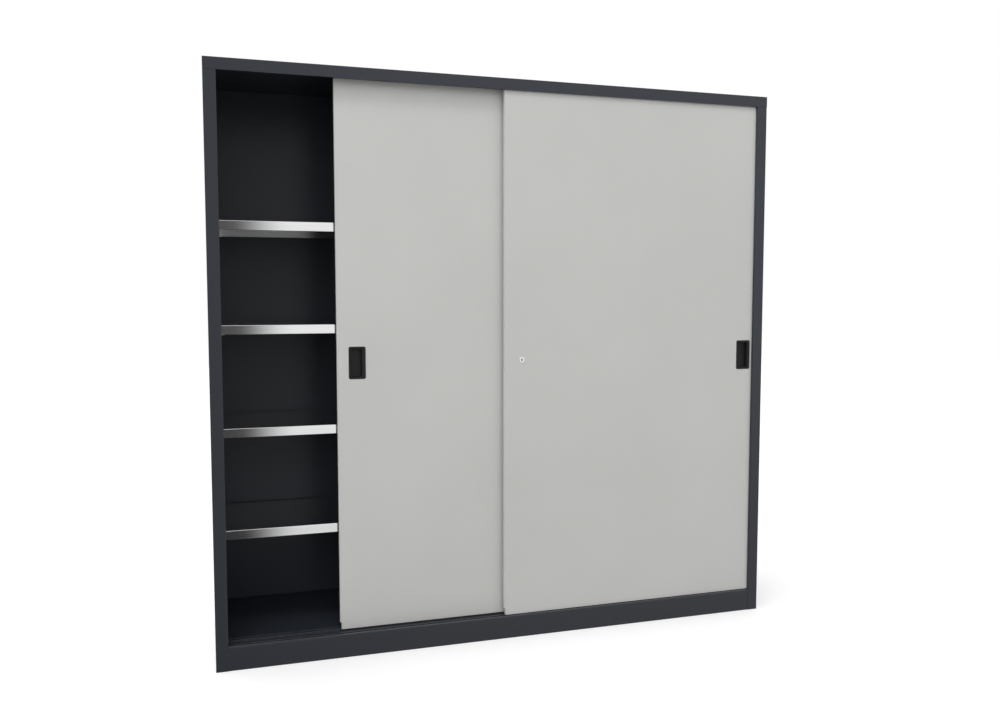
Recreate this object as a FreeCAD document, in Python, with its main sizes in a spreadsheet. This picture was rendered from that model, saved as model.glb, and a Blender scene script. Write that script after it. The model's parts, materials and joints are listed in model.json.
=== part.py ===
import FreeCAD, Part
import os
import Sketcher

# Two-door sliding cabinet of folded sheet steel, with two bays of galvanised shelves.
# X runs from left to right, Y from front to back and Z up. The origin lies on the floor
# in the middle of the footprint. All lengths are in millimetres.

doc = FreeCAD.newDocument("sliding_door_cabinet")

# ---------------------------------------------------------------- driving sizes
SIZES = [
    ("cabinet_width", 2000, "outside, along X"),
    ("cabinet_height", 1950, "outside, along Z"),
    ("cabinet_depth", 500, "outside, along Y"),
    ("sheet", 1, "thickness of the body and door sheet"),
    ("bend_radius", 2, "outer radius of the folds"),
    ("stile_width", 40, "front face of each side panel"),
    ("rail_height", 38, "skirt of the top cover, all round"),
    ("plinth_height", 80, "floor level of the bays"),
    ("frame_return", 8, "fold behind the edges of the door opening"),
    ("joint_flange", 20, "flanges where the top cover meets the sides, and at the feet"),
    ("back_flange", 25, "rear fold of each side panel"),
    ("back_recess", 15, "face of the back panels in front of the rear plane"),
    ("back_foot", 20, "feet of the back panels"),
    ("corner_clearance", 2, "back panels beside the rear folds of the side panels"),
    ("joint_strip_width", 50, "strip over the joint of the back panels"),
    ("floor_skirt", 25, "folded edge of the floor panel"),
    ("track_bed_drop", 4, "bed of the lower track under the floor level"),
    ("track_bed_skirt", 12, "folded edges of the lower track"),
    ("guide_rib_width", 2, "hemmed ribs that guide the doors"),
    ("door_setback", 11.5, "front door face behind the front plane"),
    ("door_pitch", 34.5, "rear door face behind the front door face"),
    ("door_thickness", 16, "folded depth of a door"),
    ("door_overlap", 44, "overlap of the closed doors"),
    ("door_return", 15, "inner folds on the back of a door"),
    ("door_floor_gap", 1, "lower edge of the doors above the floor level"),
    ("door_track_gap", 6, "upper edge of the doors below the track"),
    ("door_shelf_gap", 14, "rear door to the shelves"),
    ("door_end_gap", 7, "closed door to the skin of the side panel"),
    ("left_door_open", 397, "travel of the left door from its closed place, as built"),
    ("partition_width", 30, "hollow partition, along X"),
    ("upright_width", 35, "slotted face of an upright"),
    ("upright_set_in", 15, "uprights behind the front edge and the rear edge of the shelves"),
    ("upright_clearance", 4, "slotted face of a wall upright behind the stile edge"),
    ("corner_post_flange", 20, "fold of a rear corner post along the back panel"),
    ("slot_pitch", 84.5, "height step of the shelf slots"),
    ("slot_start", 76.4, "first slot above the floor level"),
    ("slot_width", 16, "shelf slots, along Y"),
    ("slot_height", 3, "shelf slots, along Z"),
    ("shelf_back_gap", 9, "shelf to the back panels"),
    ("shelf_lip", 30, "folded edge of a shelf"),
    ("shelf_hem", 12, "inner fold under the front and rear edges of a shelf"),
    ("shelf_end_gap", 2, "shelf end to the slotted faces"),
    ("lowest_shelf_slot", 3, "slots under the one that carries the lowest shelf"),
    ("shelf_slot_step", 4, "slots from one shelf to the next"),
    ("clip_width", 14, "shelf clip, along Y"),
    ("clip_thickness", 2.4, "tongue of a shelf clip"),
    ("clip_leg", 2, "hook and front leg of a shelf clip"),
    ("clip_drop", 6, "length of the hook and the front leg"),
    ("clip_ledge", 14, "ledge of a shelf clip in front of the slotted face"),
    ("clip_fit", 0.3, "play of a shelf clip on its upright"),
    ("track_height", 23, "upper track, outside"),
    ("track_width", 24, "upper track, outside"),
    ("track_wall", 1.2, "wall of the upper track"),
    ("track_slot", 6, "slot in the underside of the upper track"),
    ("track_front_lip", 5, "lip of the upper track in front of the slot"),
    ("roller_diameter", 18, "running face of a roller"),
    ("roller_width", 8, "roller, along its stud"),
    ("roller_track_gap", 0.3, "roller above the track lip"),
    ("roller_side_gap", 0.5, "roller to the hanger leg"),
    ("stud_diameter", 6, "stud of a hanger, on which the roller turns"),
    ("stud_fit", 0.05, "radial play of a roller on its stud"),
    ("stud_end", 1, "stud beyond the roller"),
    ("hanger_inset", 80, "stud to the nearest door edge"),
    ("hanger_thickness", 2, "plate of a hanger"),
    ("hanger_foot_length", 60, "hanger foot, along X"),
    ("hanger_foot_width", 11, "hanger foot, along Y"),
    ("hanger_leg_base", 40, "hanger leg at the foot"),
    ("hanger_leg_top", 16, "hanger leg at its upper edge"),
    ("hanger_land", 6, "hanger leg above the middle of the stud"),
    ("stiffener_crown", 30, "raised part of a door stiffener"),
    ("stiffener_foot", 15, "flat feet of a door stiffener"),
    ("stiffener_rise", 12, "crown of a door stiffener off the door skin"),
    ("stiffener_spacing", 338, "between the two stiffeners of a door"),
    ("stiffener_end_gap", 40, "stiffener end to the door edge"),
    ("notch_width", 5, "notch in each lower corner of a door, along X"),
    ("notch_height", 24, "notch in each lower corner of a door, along Z"),
    ("guide_length", 24, "guide shoe, along X"),
    ("guide_height", 20, "guide shoe inside the door"),
    ("guide_leg", 3, "legs of a guide shoe on both sides of the rib"),
    ("guide_fit", 0.35, "play of a guide shoe on its rib"),
    ("guide_floor_gap", 1, "guide legs above the track bed"),
    ("buffer_width", 14, "rubber door buffers, along Y"),
    ("buffer_height", 40, "rubber door buffers, along Z"),
    ("buffer_gap", 0.3, "buffer to the door at its limit"),
    ("buffer_level", 1000, "height of the door buffers"),
    ("fitting_level", 989, "height of the handles and the lock"),
    ("handle_offset", 67, "handle middle to the outer door edge"),
    ("handle_width", 57, "face of the recessed handle"),
    ("handle_height", 109, "face of the recessed handle"),
    ("handle_plate", 1.5, "thickness of the handle face"),
    ("handle_edge", 0.8, "chamfer round the handle face"),
    ("handle_corner", 6, "corner radius of the handle face"),
    ("handle_margin", 6.5, "handle face beside the cup: top, bottom and plain side"),
    ("handle_grip", 12, "handle face beside the cup on the grip side"),
    ("handle_cup_depth", 14.5, "cup of the handle behind the door face"),
    ("handle_cup_corner", 3, "corner radius of the cup"),
    ("handle_wall", 1.2, "wall of the handle cup"),
    ("handle_bead", 1.2, "width of the bead round the cup"),
    ("handle_bead_height", 0.6, "height of the bead round the cup"),
    ("handle_fit", 0.3, "play of the cup in the door cut-out"),
    ("handle_lug", 1.5, "snap lugs of the handle behind the door skin"),
    ("lock_offset", 63.6, "lock axis to the inner edge of the front door"),
    ("lock_ring_diameter", 22.5, "head of the lock housing"),
    ("lock_ring_height", 2.5, "head of the lock housing"),
    ("lock_ring_chamfer", 0.9, "edge of the lock head"),
    ("lock_barrel_diameter", 19, "threaded barrel of the lock housing"),
    ("lock_barrel_length", 17, "barrel of the lock housing behind the door face"),
    ("lock_plug_diameter", 13, "turning plug of the lock"),
    ("lock_plug_recess", 0.5, "plug face behind the lock head"),
    ("lock_plug_fit", 0.05, "radial play of the plug in the housing"),
    ("lock_hole_fit", 0.15, "radial play of the barrel in the door and the nut"),
    ("keyway_width", 2, "key slot"),
    ("keyway_height", 8, "key slot"),
    ("keyway_depth", 12, "key slot"),
    ("lock_clip_width", 30, "fork behind the door skin that holds the lock, across its legs"),
    ("lock_clip_height", 34, "fork, along its legs"),
    ("lock_clip_thickness", 2, "fork"),
    ("cam_thickness", 2, "lock cam"),
    ("cam_square", 7, "square end of the plug"),
    ("cam_gap", 0.2, "cam to the lock housing"),
    ("cam_width", 14, "lock cam round the plug"),
    ("cam_tip_width", 10, "arm of the lock cam at its tip"),
    ("cam_head", 8, "lock cam above the lock axis"),
    ("cam_reach", 18, "arm of the lock cam from the lock axis"),
    ("cam_tip_length", 9.3, "bent tip of the lock cam"),
    ("cam_bolt_flats", 9, "hexagon head that holds the cam, across flats"),
    ("cam_bolt_height", 2.5, "hexagon head that holds the cam"),
    ("catch_thickness", 2, "lock catch on the rear door"),
    ("catch_foot", 18, "catch along the door face"),
    ("catch_reach", 10, "catch in front of the rear door"),
    ("catch_height", 16, "catch, along Z"),
]

sheet = doc.addObject("Spreadsheet::Sheet", "Sizes")
for row, (alias, value, meaning) in enumerate(SIZES, start=1):
    sheet.set(f"A{row}", alias)
    sheet.set(f"B{row}", str(value))
    sheet.set(f"C{row}", meaning)
    sheet.setAlias(f"B{row}", alias)
doc.recompute()

# ---------------------------------------------------------------- derived levels and planes
T = "Sizes.sheet"
HALF_WIDTH = "Sizes.cabinet_width / 2"
FRONT = "-Sizes.cabinet_depth / 2"
BACK = "Sizes.cabinet_depth / 2"
TOP = "Sizes.cabinet_height"
CEILING = f"({TOP} - {T})"
FLOOR = "Sizes.plinth_height"
SIDE_SKIN = f"({HALF_WIDTH} - {T})"
OPENING = f"({HALF_WIDTH} - Sizes.stile_width)"
RAIL_BOTTOM = f"({TOP} - Sizes.rail_height)"
BACK_FACE = f"({BACK} - Sizes.back_recess)"
TRACK_BED = f"({FLOOR} - Sizes.track_bed_drop)"
TRACK_BED_FRONT = f"({FRONT} + Sizes.frame_return)"
TRACK_BOTTOM = f"({CEILING} - Sizes.track_height)"

FRONT_DOOR_FACE = f"({FRONT} + Sizes.door_setback)"
REAR_DOOR_FACE = f"({FRONT_DOOR_FACE} + Sizes.door_pitch)"
FRONT_DOOR_MIDDLE = f"({FRONT_DOOR_FACE} + Sizes.door_thickness / 2)"
REAR_DOOR_MIDDLE = f"({REAR_DOOR_FACE} + Sizes.door_thickness / 2)"
DOOR_BOTTOM = f"({FLOOR} + Sizes.door_floor_gap)"
DOOR_TOP = f"({TRACK_BOTTOM} - Sizes.door_track_gap)"
DOOR_HEIGHT = f"({DOOR_TOP} - {DOOR_BOTTOM})"
CLOSED_EDGE = f"({SIDE_SKIN} - Sizes.door_end_gap)"
DOOR_WIDTH = f"({CLOSED_EDGE} + Sizes.door_overlap / 2)"
HALF_DOOR = f"({DOOR_WIDTH} / 2)"
RIGHT_DOOR_X = f"({CLOSED_EDGE} - {HALF_DOOR})"
LEFT_DOOR_X = f"({HALF_DOOR} - {CLOSED_EDGE} + Sizes.left_door_open)"
STUD_LEVEL = f"({TRACK_BOTTOM} + Sizes.track_wall + Sizes.roller_track_gap + Sizes.roller_diameter / 2)"
STUD_RISE = f"({STUD_LEVEL} - {DOOR_TOP})"
STUD_X = f"({HALF_DOOR} - Sizes.hanger_inset)"
TRACK_SLOT_MIDDLE = "(Sizes.track_front_lip + Sizes.track_slot / 2 - Sizes.track_width / 2)"
FITTING_RISE = f"(Sizes.fitting_level - {DOOR_BOTTOM})"

SHELF_FRONT = f"({REAR_DOOR_FACE} + Sizes.door_thickness + Sizes.door_shelf_gap)"
HALF_PARTITION = "(Sizes.partition_width / 2)"
WALL_FACE = f"({OPENING} + Sizes.upright_clearance)"
BAY_WIDTH = f"({WALL_FACE} - {HALF_PARTITION})"
BAY_MIDDLE = f"(({WALL_FACE} + {HALF_PARTITION}) / 2)"
UPRIGHT_FRONT = f"({SHELF_FRONT} + Sizes.upright_set_in)"
SHELF_DEPTH = f"({BACK_FACE} - Sizes.shelf_back_gap - {SHELF_FRONT})"
UPRIGHT_REAR = f"({SHELF_FRONT} + {SHELF_DEPTH} - Sizes.upright_set_in - Sizes.upright_width / 2)"
UPRIGHT_STEP = f"({SHELF_DEPTH} - 2 * Sizes.upright_set_in - Sizes.upright_width)"
UPRIGHT_TOP = f"({RAIL_BOTTOM} - {T})"
SLOT_FLOOR = f"({FLOOR} + Sizes.slot_start)"
SLOT_COUNT = f"floor(({UPRIGHT_TOP} - Sizes.slot_height - {SLOT_FLOOR}) / Sizes.slot_pitch) + 1"
SHELF_STEP = "(Sizes.shelf_slot_step * Sizes.slot_pitch)"
LOWEST_CLIP = f"({SLOT_FLOOR} + Sizes.lowest_shelf_slot * Sizes.slot_pitch)"
LOWEST_SHELF = f"({LOWEST_CLIP} + Sizes.clip_thickness + Sizes.shelf_lip)"
SHELVES_PER_BAY = 4

# ---------------------------------------------------------------- helpers
parts = []
NORMAL_AXIS = {"XY_Plane": "Z", "XZ_Plane": "Y", "YZ_Plane": "X"}
DIRECTIONS = {"+x": (1, 0), "-x": (-1, 0), "+y": (0, 1), "-y": (0, -1)}
NEAR = 1e-4


def number(expression):
    """Value of an expression of the sheet's sizes."""
    return float(sheet.evalExpression(expression))


def new_body(label, x="0", y="0", z="0"):
    """An empty body with its own label, placed by expressions."""
    body = doc.addObject("PartDesign::Body", label)
    body.Label = label
    for axis, place in (("x", x), ("y", y), ("z", z)):
        body.setExpression(f"Placement.Base.{axis}", place)
    parts.append(body)
    return body


def origin_feature(body, role):
    """Origin plane or axis of a body, by its role."""
    return next(item for item in body.Origin.OriginFeatures if item.Role == role)


def bind(sketch, constraint, expression):
    """Add a dimension to a sketch and tie it to the sheet."""
    index = sketch.addConstraint(constraint)
    sketch.setExpression(f"Constraints[{index}]", expression)


def draw_polygon(sketch, points):
    """Closed outline whose corners are tied to the sheet."""
    places = [FreeCAD.Vector(number(x), number(y), 0) for x, y in points]
    first = sketch.GeometryCount
    count = len(points)
    for i in range(count):
        sketch.addGeometry(Part.LineSegment(places[i], places[(i + 1) % count]), False)
    for i in range(count):
        sketch.addConstraint(Sketcher.Constraint("Coincident", first + i, 2, first + (i + 1) % count, 1))
    for i, (x, y) in enumerate(points):
        bind(sketch, Sketcher.Constraint("DistanceX", -1, 1, first + i, 1, places[i].x), x)
        bind(sketch, Sketcher.Constraint("DistanceY", -1, 1, first + i, 1, places[i].y), y)


def draw_circle(sketch, x, y, diameter):
    """Circle whose middle and diameter are tied to the sheet."""
    middle = FreeCAD.Vector(number(x), number(y), 0)
    circle = Part.Circle(middle, FreeCAD.Vector(0, 0, 1), number(diameter) / 2)
    index = sketch.addGeometry(circle, False)
    bind(sketch, Sketcher.Constraint("DistanceX", -1, 1, index, 3, middle.x), x)
    bind(sketch, Sketcher.Constraint("DistanceY", -1, 1, index, 3, middle.y), y)
    bind(sketch, Sketcher.Constraint("Diameter", index, number(diameter)), diameter)


def new_sketch(body, plane, loops, start="0"):
    """Sketch on an origin plane, moved along the plane's axis to start."""
    sketch = body.newObject("Sketcher::SketchObject", body.Label + "_sketch")
    sketch.AttachmentSupport = [(origin_feature(body, plane), "")]
    sketch.MapMode = "FlatFace"
    along = f"-({start})" if plane == "XZ_Plane" else start
    sketch.setExpression("AttachmentOffset.Base.z", along)
    for loop in loops:
        if isinstance(loop, tuple):
            draw_circle(sketch, *loop)
        else:
            draw_polygon(sketch, loop)
    return sketch


def add(body, plane, loops, start, length):
    """Solid from start to start + length along the plane's axis."""
    pad = body.newObject("PartDesign::Pad", body.Label + "_pad")
    pad.Profile = new_sketch(body, plane, loops, start)
    pad.Reversed = plane == "XZ_Plane"
    pad.setExpression("Length", length)
    return pad


def cut(body, plane, loops, start, length):
    """Take away the space from start to start + length along the plane's axis."""
    pocket = body.newObject("PartDesign::Pocket", body.Label + "_pocket")
    pocket.Profile = new_sketch(body, plane, loops, start)
    pocket.Reversed = plane != "XZ_Plane"
    pocket.setExpression("Length", length)
    return pocket


def revolve(body, points):
    """Turned solid about the body's Y axis; points hold (radius, place along Y)."""
    turn = body.newObject("PartDesign::Revolution", body.Label + "_turn")
    turn.Profile = new_sketch(body, "XY_Plane", [points])
    turn.ReferenceAxis = (origin_feature(body, "Y_Axis"), [""])
    turn.Angle = 360
    return turn


def rectangle(x0, y0, x1, y1):
    """Corners of an upright rectangle."""
    return [(x0, y0), (x1, y0), (x1, y1), (x0, y1)]


def centred(width, height, x="0", y="0"):
    """Corners of a rectangle round a middle."""
    return rectangle(f"{x} - ({width}) / 2", f"{y} - ({height}) / 2",
                     f"{x} + ({width}) / 2", f"{y} + ({height}) / 2")


def shifted(place, sign, length):
    """Place moved by a length, forwards or backwards."""
    if sign == 0:
        return place
    return f"{place} + ({length})" if sign > 0 else f"{place} - ({length})"


def folded(start, legs, side, thickness=T):
    """Outline of a strip of sheet with square folds, and the outer corners of the folds.

    The legs follow one face of the sheet; side says on which hand the material lies."""
    hand = 1 if side == "left" else -1
    steps = [DIRECTIONS[direction] for direction, length in legs]
    normals = [(-dy * hand, dx * hand) for dx, dy in steps]
    path = [start]
    for (dx, dy), (direction, length) in zip(steps, legs):
        x, y = path[-1]
        path.append((shifted(x, dx, length), shifted(y, dy, length)))
    other = []
    outer = []
    for i, (x, y) in enumerate(path):
        around = set(normals[max(i - 1, 0):i + 1])
        nx = sum(normal[0] for normal in around)
        ny = sum(normal[1] for normal in around)
        other.append((shifted(x, nx, thickness), shifted(y, ny, thickness)))
        if 0 < i < len(path) - 1:
            (ax, ay), (bx, by) = steps[i - 1], steps[i]
            towards_material = (ax * by - ay * bx) * hand > 0
            outer.append(path[i] if towards_material else other[i])
    return path + other[::-1], outer


def edges_at(shape, plane, corners):
    """Names of the straight edges that stand on the plane at the given corners."""
    axes = {"XY_Plane": (0, 1, 2), "XZ_Plane": (0, 2, 1), "YZ_Plane": (1, 2, 0)}[plane]
    wanted = [(number(x), number(y)) for x, y in corners]
    names = []
    for index, edge in enumerate(shape.Edges, start=1):
        first, last = edge.Vertexes[0].Point, edge.Vertexes[-1].Point
        a = (first[axes[0]], first[axes[1]])
        b = (last[axes[0]], last[axes[1]])
        standing = abs(first[axes[2]] - last[axes[2]]) > NEAR
        for corner in wanted:
            at_corner = all(abs(a[k] - corner[k]) + abs(b[k] - corner[k]) < NEAR for k in (0, 1))
            if standing and at_corner:
                names.append(f"Edge{index}")
    return names


def round_edges(body, base, names, radius):
    """Round the named edges of a body's feature."""
    if not names:
        raise RuntimeError(f"{body.Label}: no edge to round")
    rounding = body.newObject("PartDesign::Fillet", body.Label + "_fillet")
    rounding.Base = (base, names)
    rounding.setExpression("Radius", radius)


def rim_edges(shape, axis, level):
    """Names of the edges that lie in a plane across the given axis."""
    place = number(level)
    names = []
    for index, edge in enumerate(shape.Edges, start=1):
        if all(abs(vertex.Point[axis] - place) < NEAR for vertex in edge.Vertexes):
            names.append(f"Edge{index}")
    return names


def round_rim(body, axis, level, radius):
    """Round every edge that lies in a plane across the given axis of the body."""
    doc.recompute()
    base = body.Tip
    round_edges(body, base, rim_edges(base.Shape, axis, level), radius)


def chamfer_rim(body, axis, level, width):
    """Chamfer every edge that lies in a plane across the given axis of the body."""
    doc.recompute()
    base = body.Tip
    chamfer = body.newObject("PartDesign::Chamfer", body.Label + "_chamfer")
    chamfer.Base = (base, rim_edges(base.Shape, axis, level))
    chamfer.setExpression("Size", width)


def round_corners(body, plane, corners, radius):
    """Round the edges that stand on the plane at the given corners."""
    doc.recompute()
    base = body.Tip
    round_edges(body, base, edges_at(base.Shape, plane, corners), radius)


def add_folded(body, plane, start, legs, side, level, length, thickness=T, radius="Sizes.bend_radius"):
    """Length of folded sheet with rounded bends."""
    outline, outer = folded(start, legs, side, thickness)
    add(body, plane, [outline], level, length)
    round_corners(body, plane, outer, radius)


def repeat_whole(body, axis, count, spacing):
    """Repeat everything made so far in the body along one of its axes."""
    pattern = body.newObject("PartDesign::LinearPattern", body.Label + "_row")
    pattern.TransformMode = "Whole shape"
    pattern.Direction = (origin_feature(body, axis), [""])
    pattern.Mode = "Spacing"
    pattern.setExpression("Offset", spacing)
    pattern.setExpression("Occurrences", count)
    body.Tip = pattern


def mirror_whole(body, plane):
    """Mirror everything made so far in the body in one of its origin planes."""
    mirror = body.newObject("PartDesign::Mirrored", body.Label + "_mirror")
    mirror.TransformMode = "Whole shape"
    mirror.MirrorPlane = (origin_feature(body, plane), [""])
    body.Tip = mirror


def mirrored_side(side):
    """Sign of a side of the cabinet, and the hands left and right as seen on that side."""
    return ("-1", "left", "right") if side == "left" else ("1", "right", "left")


# ---------------------------------------------------------------- body of the cabinet
def side_panel(side):
    """Skin, stile with its return, rear flange, and flanges at the top and the foot."""
    sign, _, material = mirrored_side(side)
    inwards = "+x" if side == "left" else "-x"
    outwards = "-x" if side == "left" else "+x"
    body = new_body(f"{side}_side_panel")
    legs = [("-y", "Sizes.frame_return"), (outwards, "Sizes.stile_width"),
            ("+y", "Sizes.cabinet_depth"), (inwards, "Sizes.back_flange")]
    add_folded(body, "XY_Plane", (f"{sign} * {OPENING}", f"{FRONT} + Sizes.frame_return"),
               legs, material, "0", RAIL_BOTTOM)
    skin = f"{sign} * {SIDE_SKIN}"
    flange = f"{sign} * ({SIDE_SKIN} - Sizes.joint_flange)"
    add(body, "XY_Plane", [rectangle(skin, SHELF_FRONT, flange, BACK_FACE)], f"{RAIL_BOTTOM} - {T}", T)
    add(body, "XY_Plane", [rectangle(skin, f"{FRONT} + {T}", flange, f"{BACK} - {T}")], "0", T)


def top_cover():
    """Lid with a skirt all round; the front skirt is the rail over the doors."""
    body = new_body("top_cover")
    outside = centred("Sizes.cabinet_width", "Sizes.cabinet_depth")
    add(body, "XY_Plane", [outside], RAIL_BOTTOM, "Sizes.rail_height")
    round_rim(body, 2, TOP, "Sizes.bend_radius")
    hollow = centred(f"2 * {SIDE_SKIN}", f"Sizes.cabinet_depth - 2 * {T}")
    cut(body, "XY_Plane", [hollow], RAIL_BOTTOM, f"Sizes.rail_height - {T}")
    front_return = rectangle(f"-{SIDE_SKIN}", f"{FRONT} + {T}", SIDE_SKIN, f"{FRONT} + Sizes.frame_return")
    add(body, "XY_Plane", [front_return], RAIL_BOTTOM, T)
    for sign in ("-1", "1"):
        flange = rectangle(f"{sign} * {SIDE_SKIN}", SHELF_FRONT,
                           f"{sign} * ({SIDE_SKIN} - Sizes.joint_flange)", BACK_FACE)
        add(body, "XY_Plane", [flange], RAIL_BOTTOM, T)


def floor_panel():
    """Tray upside down between the side panels, behind the lower track."""
    body = new_body("floor_panel")
    outside = rectangle(f"-{SIDE_SKIN}", SHELF_FRONT, SIDE_SKIN, BACK_FACE)
    add(body, "XY_Plane", [outside], f"{FLOOR} - Sizes.floor_skirt", "Sizes.floor_skirt")
    front_edge = [(SHELF_FRONT, FLOOR)]
    round_corners(body, "YZ_Plane", front_edge, "Sizes.bend_radius")
    hollow = rectangle(f"-{SIDE_SKIN} + {T}", f"{SHELF_FRONT} + {T}", f"{SIDE_SKIN} - {T}", f"{BACK_FACE} - {T}")
    cut(body, "XY_Plane", [hollow], f"{FLOOR} - Sizes.floor_skirt", f"Sizes.floor_skirt - {T}")


def front_plinth():
    """Plinth between the stiles: foot, face, top return and the lip in front of the track."""
    body = new_body("front_plinth")
    legs = [("-x", "Sizes.joint_flange"), ("+y", FLOOR), ("+x", "Sizes.frame_return"),
            ("-y", "Sizes.track_bed_drop + Sizes.track_bed_skirt")]
    add_folded(body, "YZ_Plane", (f"{FRONT} + Sizes.joint_flange", "0"), legs, "right",
               f"-{OPENING}", f"2 * {OPENING}")


def rear_plinth():
    """Plinth between the rear flanges of the side panels, closed up to the floor panel."""
    body = new_body("rear_plinth")
    half = f"({HALF_WIDTH} - Sizes.back_flange)"
    legs = [("+x", "Sizes.joint_flange"), ("+y", FLOOR), ("-x", "Sizes.back_recess")]
    add_folded(body, "YZ_Plane", (f"{BACK} - Sizes.joint_flange", "0"), legs, "left", f"-{half}", f"2 * {half}")


def lower_track():
    """Bed in front of the floor panel with one hemmed rib under each door."""
    body = new_body("lower_track")
    depth = f"{SHELF_FRONT} - {TRACK_BED_FRONT}"
    legs = [("+y", "Sizes.track_bed_skirt"), ("+x", depth), ("-y", "Sizes.track_bed_skirt")]
    add_folded(body, "YZ_Plane", (TRACK_BED_FRONT, f"{TRACK_BED} - Sizes.track_bed_skirt"), legs, "right",
               f"-{SIDE_SKIN}", f"2 * {SIDE_SKIN}")
    half_rib = "Sizes.guide_rib_width / 2"
    for middle in (FRONT_DOOR_MIDDLE, REAR_DOOR_MIDDLE):
        rib = rectangle(f"{middle} - {half_rib}", TRACK_BED, f"{middle} + {half_rib}", FLOOR)
        add(body, "YZ_Plane", [rib], f"-{SIDE_SKIN}", f"2 * {SIDE_SKIN}")


def back_panel(side):
    """Half of the back: a shallow tray with feet on the side panel and on the joint strip."""
    sign, material, _ = mirrored_side(side)
    inwards = "+x" if side == "left" else "-x"
    body = new_body(f"{side}_back_panel")
    outer_end = f"({SIDE_SKIN} - Sizes.corner_clearance)"
    rise = f"Sizes.back_recess - 2 * {T}"
    legs = [(inwards, "Sizes.back_foot"), ("-y", rise),
            (inwards, f"{outer_end} - 2 * Sizes.back_foot"), ("+y", rise),
            (inwards, "Sizes.back_foot")]
    add_folded(body, "XY_Plane", (f"{sign} * {outer_end}", f"{BACK} - 2 * {T}"), legs, material,
               FLOOR, f"{CEILING} - {FLOOR}")


def back_joint_strip():
    """Flat strip over the joint of the two back panels."""
    body = new_body("back_joint_strip")
    strip = centred("Sizes.joint_strip_width", T, "0", f"{BACK} - {T} / 2")
    add(body, "XY_Plane", [strip], FLOOR, f"{RAIL_BOTTOM} - {FLOOR}")


def partition_sheet(side):
    """Half of the hollow partition: slotted face, and folds that meet those of the other half."""
    sign, _, material = mirrored_side(side)
    inwards = "+x" if side == "left" else "-x"
    outwards = "-x" if side == "left" else "+x"
    body = new_body(f"{side}_partition_sheet")
    legs = [(outwards, HALF_PARTITION), ("+y", f"{BACK_FACE} - {SHELF_FRONT}"), (inwards, HALF_PARTITION)]
    add_folded(body, "XY_Plane", ("0", SHELF_FRONT), legs, material, FLOOR, f"{CEILING} - {FLOOR}")
    for middle in (f"{UPRIGHT_FRONT} + Sizes.upright_width / 2", UPRIGHT_REAR):
        punch_slots(body, f"{sign} * {HALF_PARTITION}", inwards, middle)


# ---------------------------------------------------------------- uprights, clips and shelves
def punch_slots(body, face, outwards, middle):
    """Column of shelf slots through the slotted face of an upright."""
    start = f"{face} - {T} / 2" if outwards == "+x" else f"{face} - 1.5 * {T}"
    slot = rectangle(f"{middle} - Sizes.slot_width / 2", SLOT_FLOOR,
                     f"{middle} + Sizes.slot_width / 2", f"{SLOT_FLOOR} + Sizes.slot_height")
    pocket = cut(body, "YZ_Plane", [slot], start, f"2 * {T}")
    column = body.newObject("PartDesign::LinearPattern", body.Label + "_slots")
    column.Originals = [pocket]
    column.Direction = (origin_feature(body, "Z_Axis"), [""])
    column.Mode = "Spacing"
    column.setExpression("Offset", "Sizes.slot_pitch")
    column.setExpression("Occurrences", SLOT_COUNT)
    body.Tip = column


def wall_upright(side):
    """Channel on the side panel behind the stile, open towards the side skin."""
    sign, material, _ = mirrored_side(side)
    inwards = "+x" if side == "left" else "-x"
    outwards = "-x" if side == "left" else "+x"
    body = new_body(f"{side}_wall_upright")
    depth = f"{SIDE_SKIN} - {WALL_FACE}"
    legs = [(inwards, depth), ("+y", "Sizes.upright_width"), (outwards, depth)]
    add_folded(body, "XY_Plane", (f"{sign} * {SIDE_SKIN}", UPRIGHT_FRONT), legs, material,
               FLOOR, f"{UPRIGHT_TOP} - {FLOOR}")
    punch_slots(body, f"{sign} * {WALL_FACE}", outwards, f"{UPRIGHT_FRONT} + Sizes.upright_width / 2")


def corner_post(side):
    """Slotted post in a rear corner: flange, slotted face and a fold along the back panel."""
    sign, material, _ = mirrored_side(side)
    inwards = "+x" if side == "left" else "-x"
    outwards = "-x" if side == "left" else "+x"
    body = new_body(f"{side}_corner_post")
    start = f"({UPRIGHT_REAR} - Sizes.upright_width / 2)"
    legs = [(inwards, f"{SIDE_SKIN} - {WALL_FACE}"), ("+y", f"{BACK_FACE} - {T} - {start}"),
            (inwards, "Sizes.corner_post_flange")]
    add_folded(body, "XY_Plane", (f"{sign} * {SIDE_SKIN}", start), legs, material,
               FLOOR, f"{UPRIGHT_TOP} - {FLOOR}")
    punch_slots(body, f"{sign} * {WALL_FACE}", outwards, UPRIGHT_REAR)


def shelf(side, number_from_floor):
    """Galvanised shelf: top sheet, lips all round and a hem under the front and rear lips."""
    sign = mirrored_side(side)[0]
    level = f"{LOWEST_SHELF} + {number_from_floor - 1} * {SHELF_STEP}"
    body = new_body(f"{side}_shelf_{number_from_floor}", f"{sign} * {BAY_MIDDLE}", SHELF_FRONT, level)
    half = f"({BAY_WIDTH} / 2 - Sizes.shelf_end_gap)"
    depth = SHELF_DEPTH
    lip = "Sizes.shelf_lip"
    add(body, "XY_Plane", [rectangle(f"-{half}", "0", half, depth)], f"-{lip}", lip)
    long_edges = [("0", "0"), (depth, "0")]
    round_corners(body, "YZ_Plane", long_edges, "Sizes.bend_radius")
    inside = rectangle(f"-{half} + {T}", T, f"{half} - {T}", f"{depth} - {T}")
    cut(body, "XY_Plane", [inside], f"-{lip}", f"{lip} - {T}")
    front_hem = rectangle(f"-{half} + {T}", T, f"{half} - {T}", "Sizes.shelf_hem")
    rear_hem = rectangle(f"-{half} + {T}", f"{depth} - Sizes.shelf_hem", f"{half} - {T}", f"{depth} - {T}")
    add(body, "XY_Plane", [front_hem, rear_hem], f"-{lip}", T)


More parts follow.
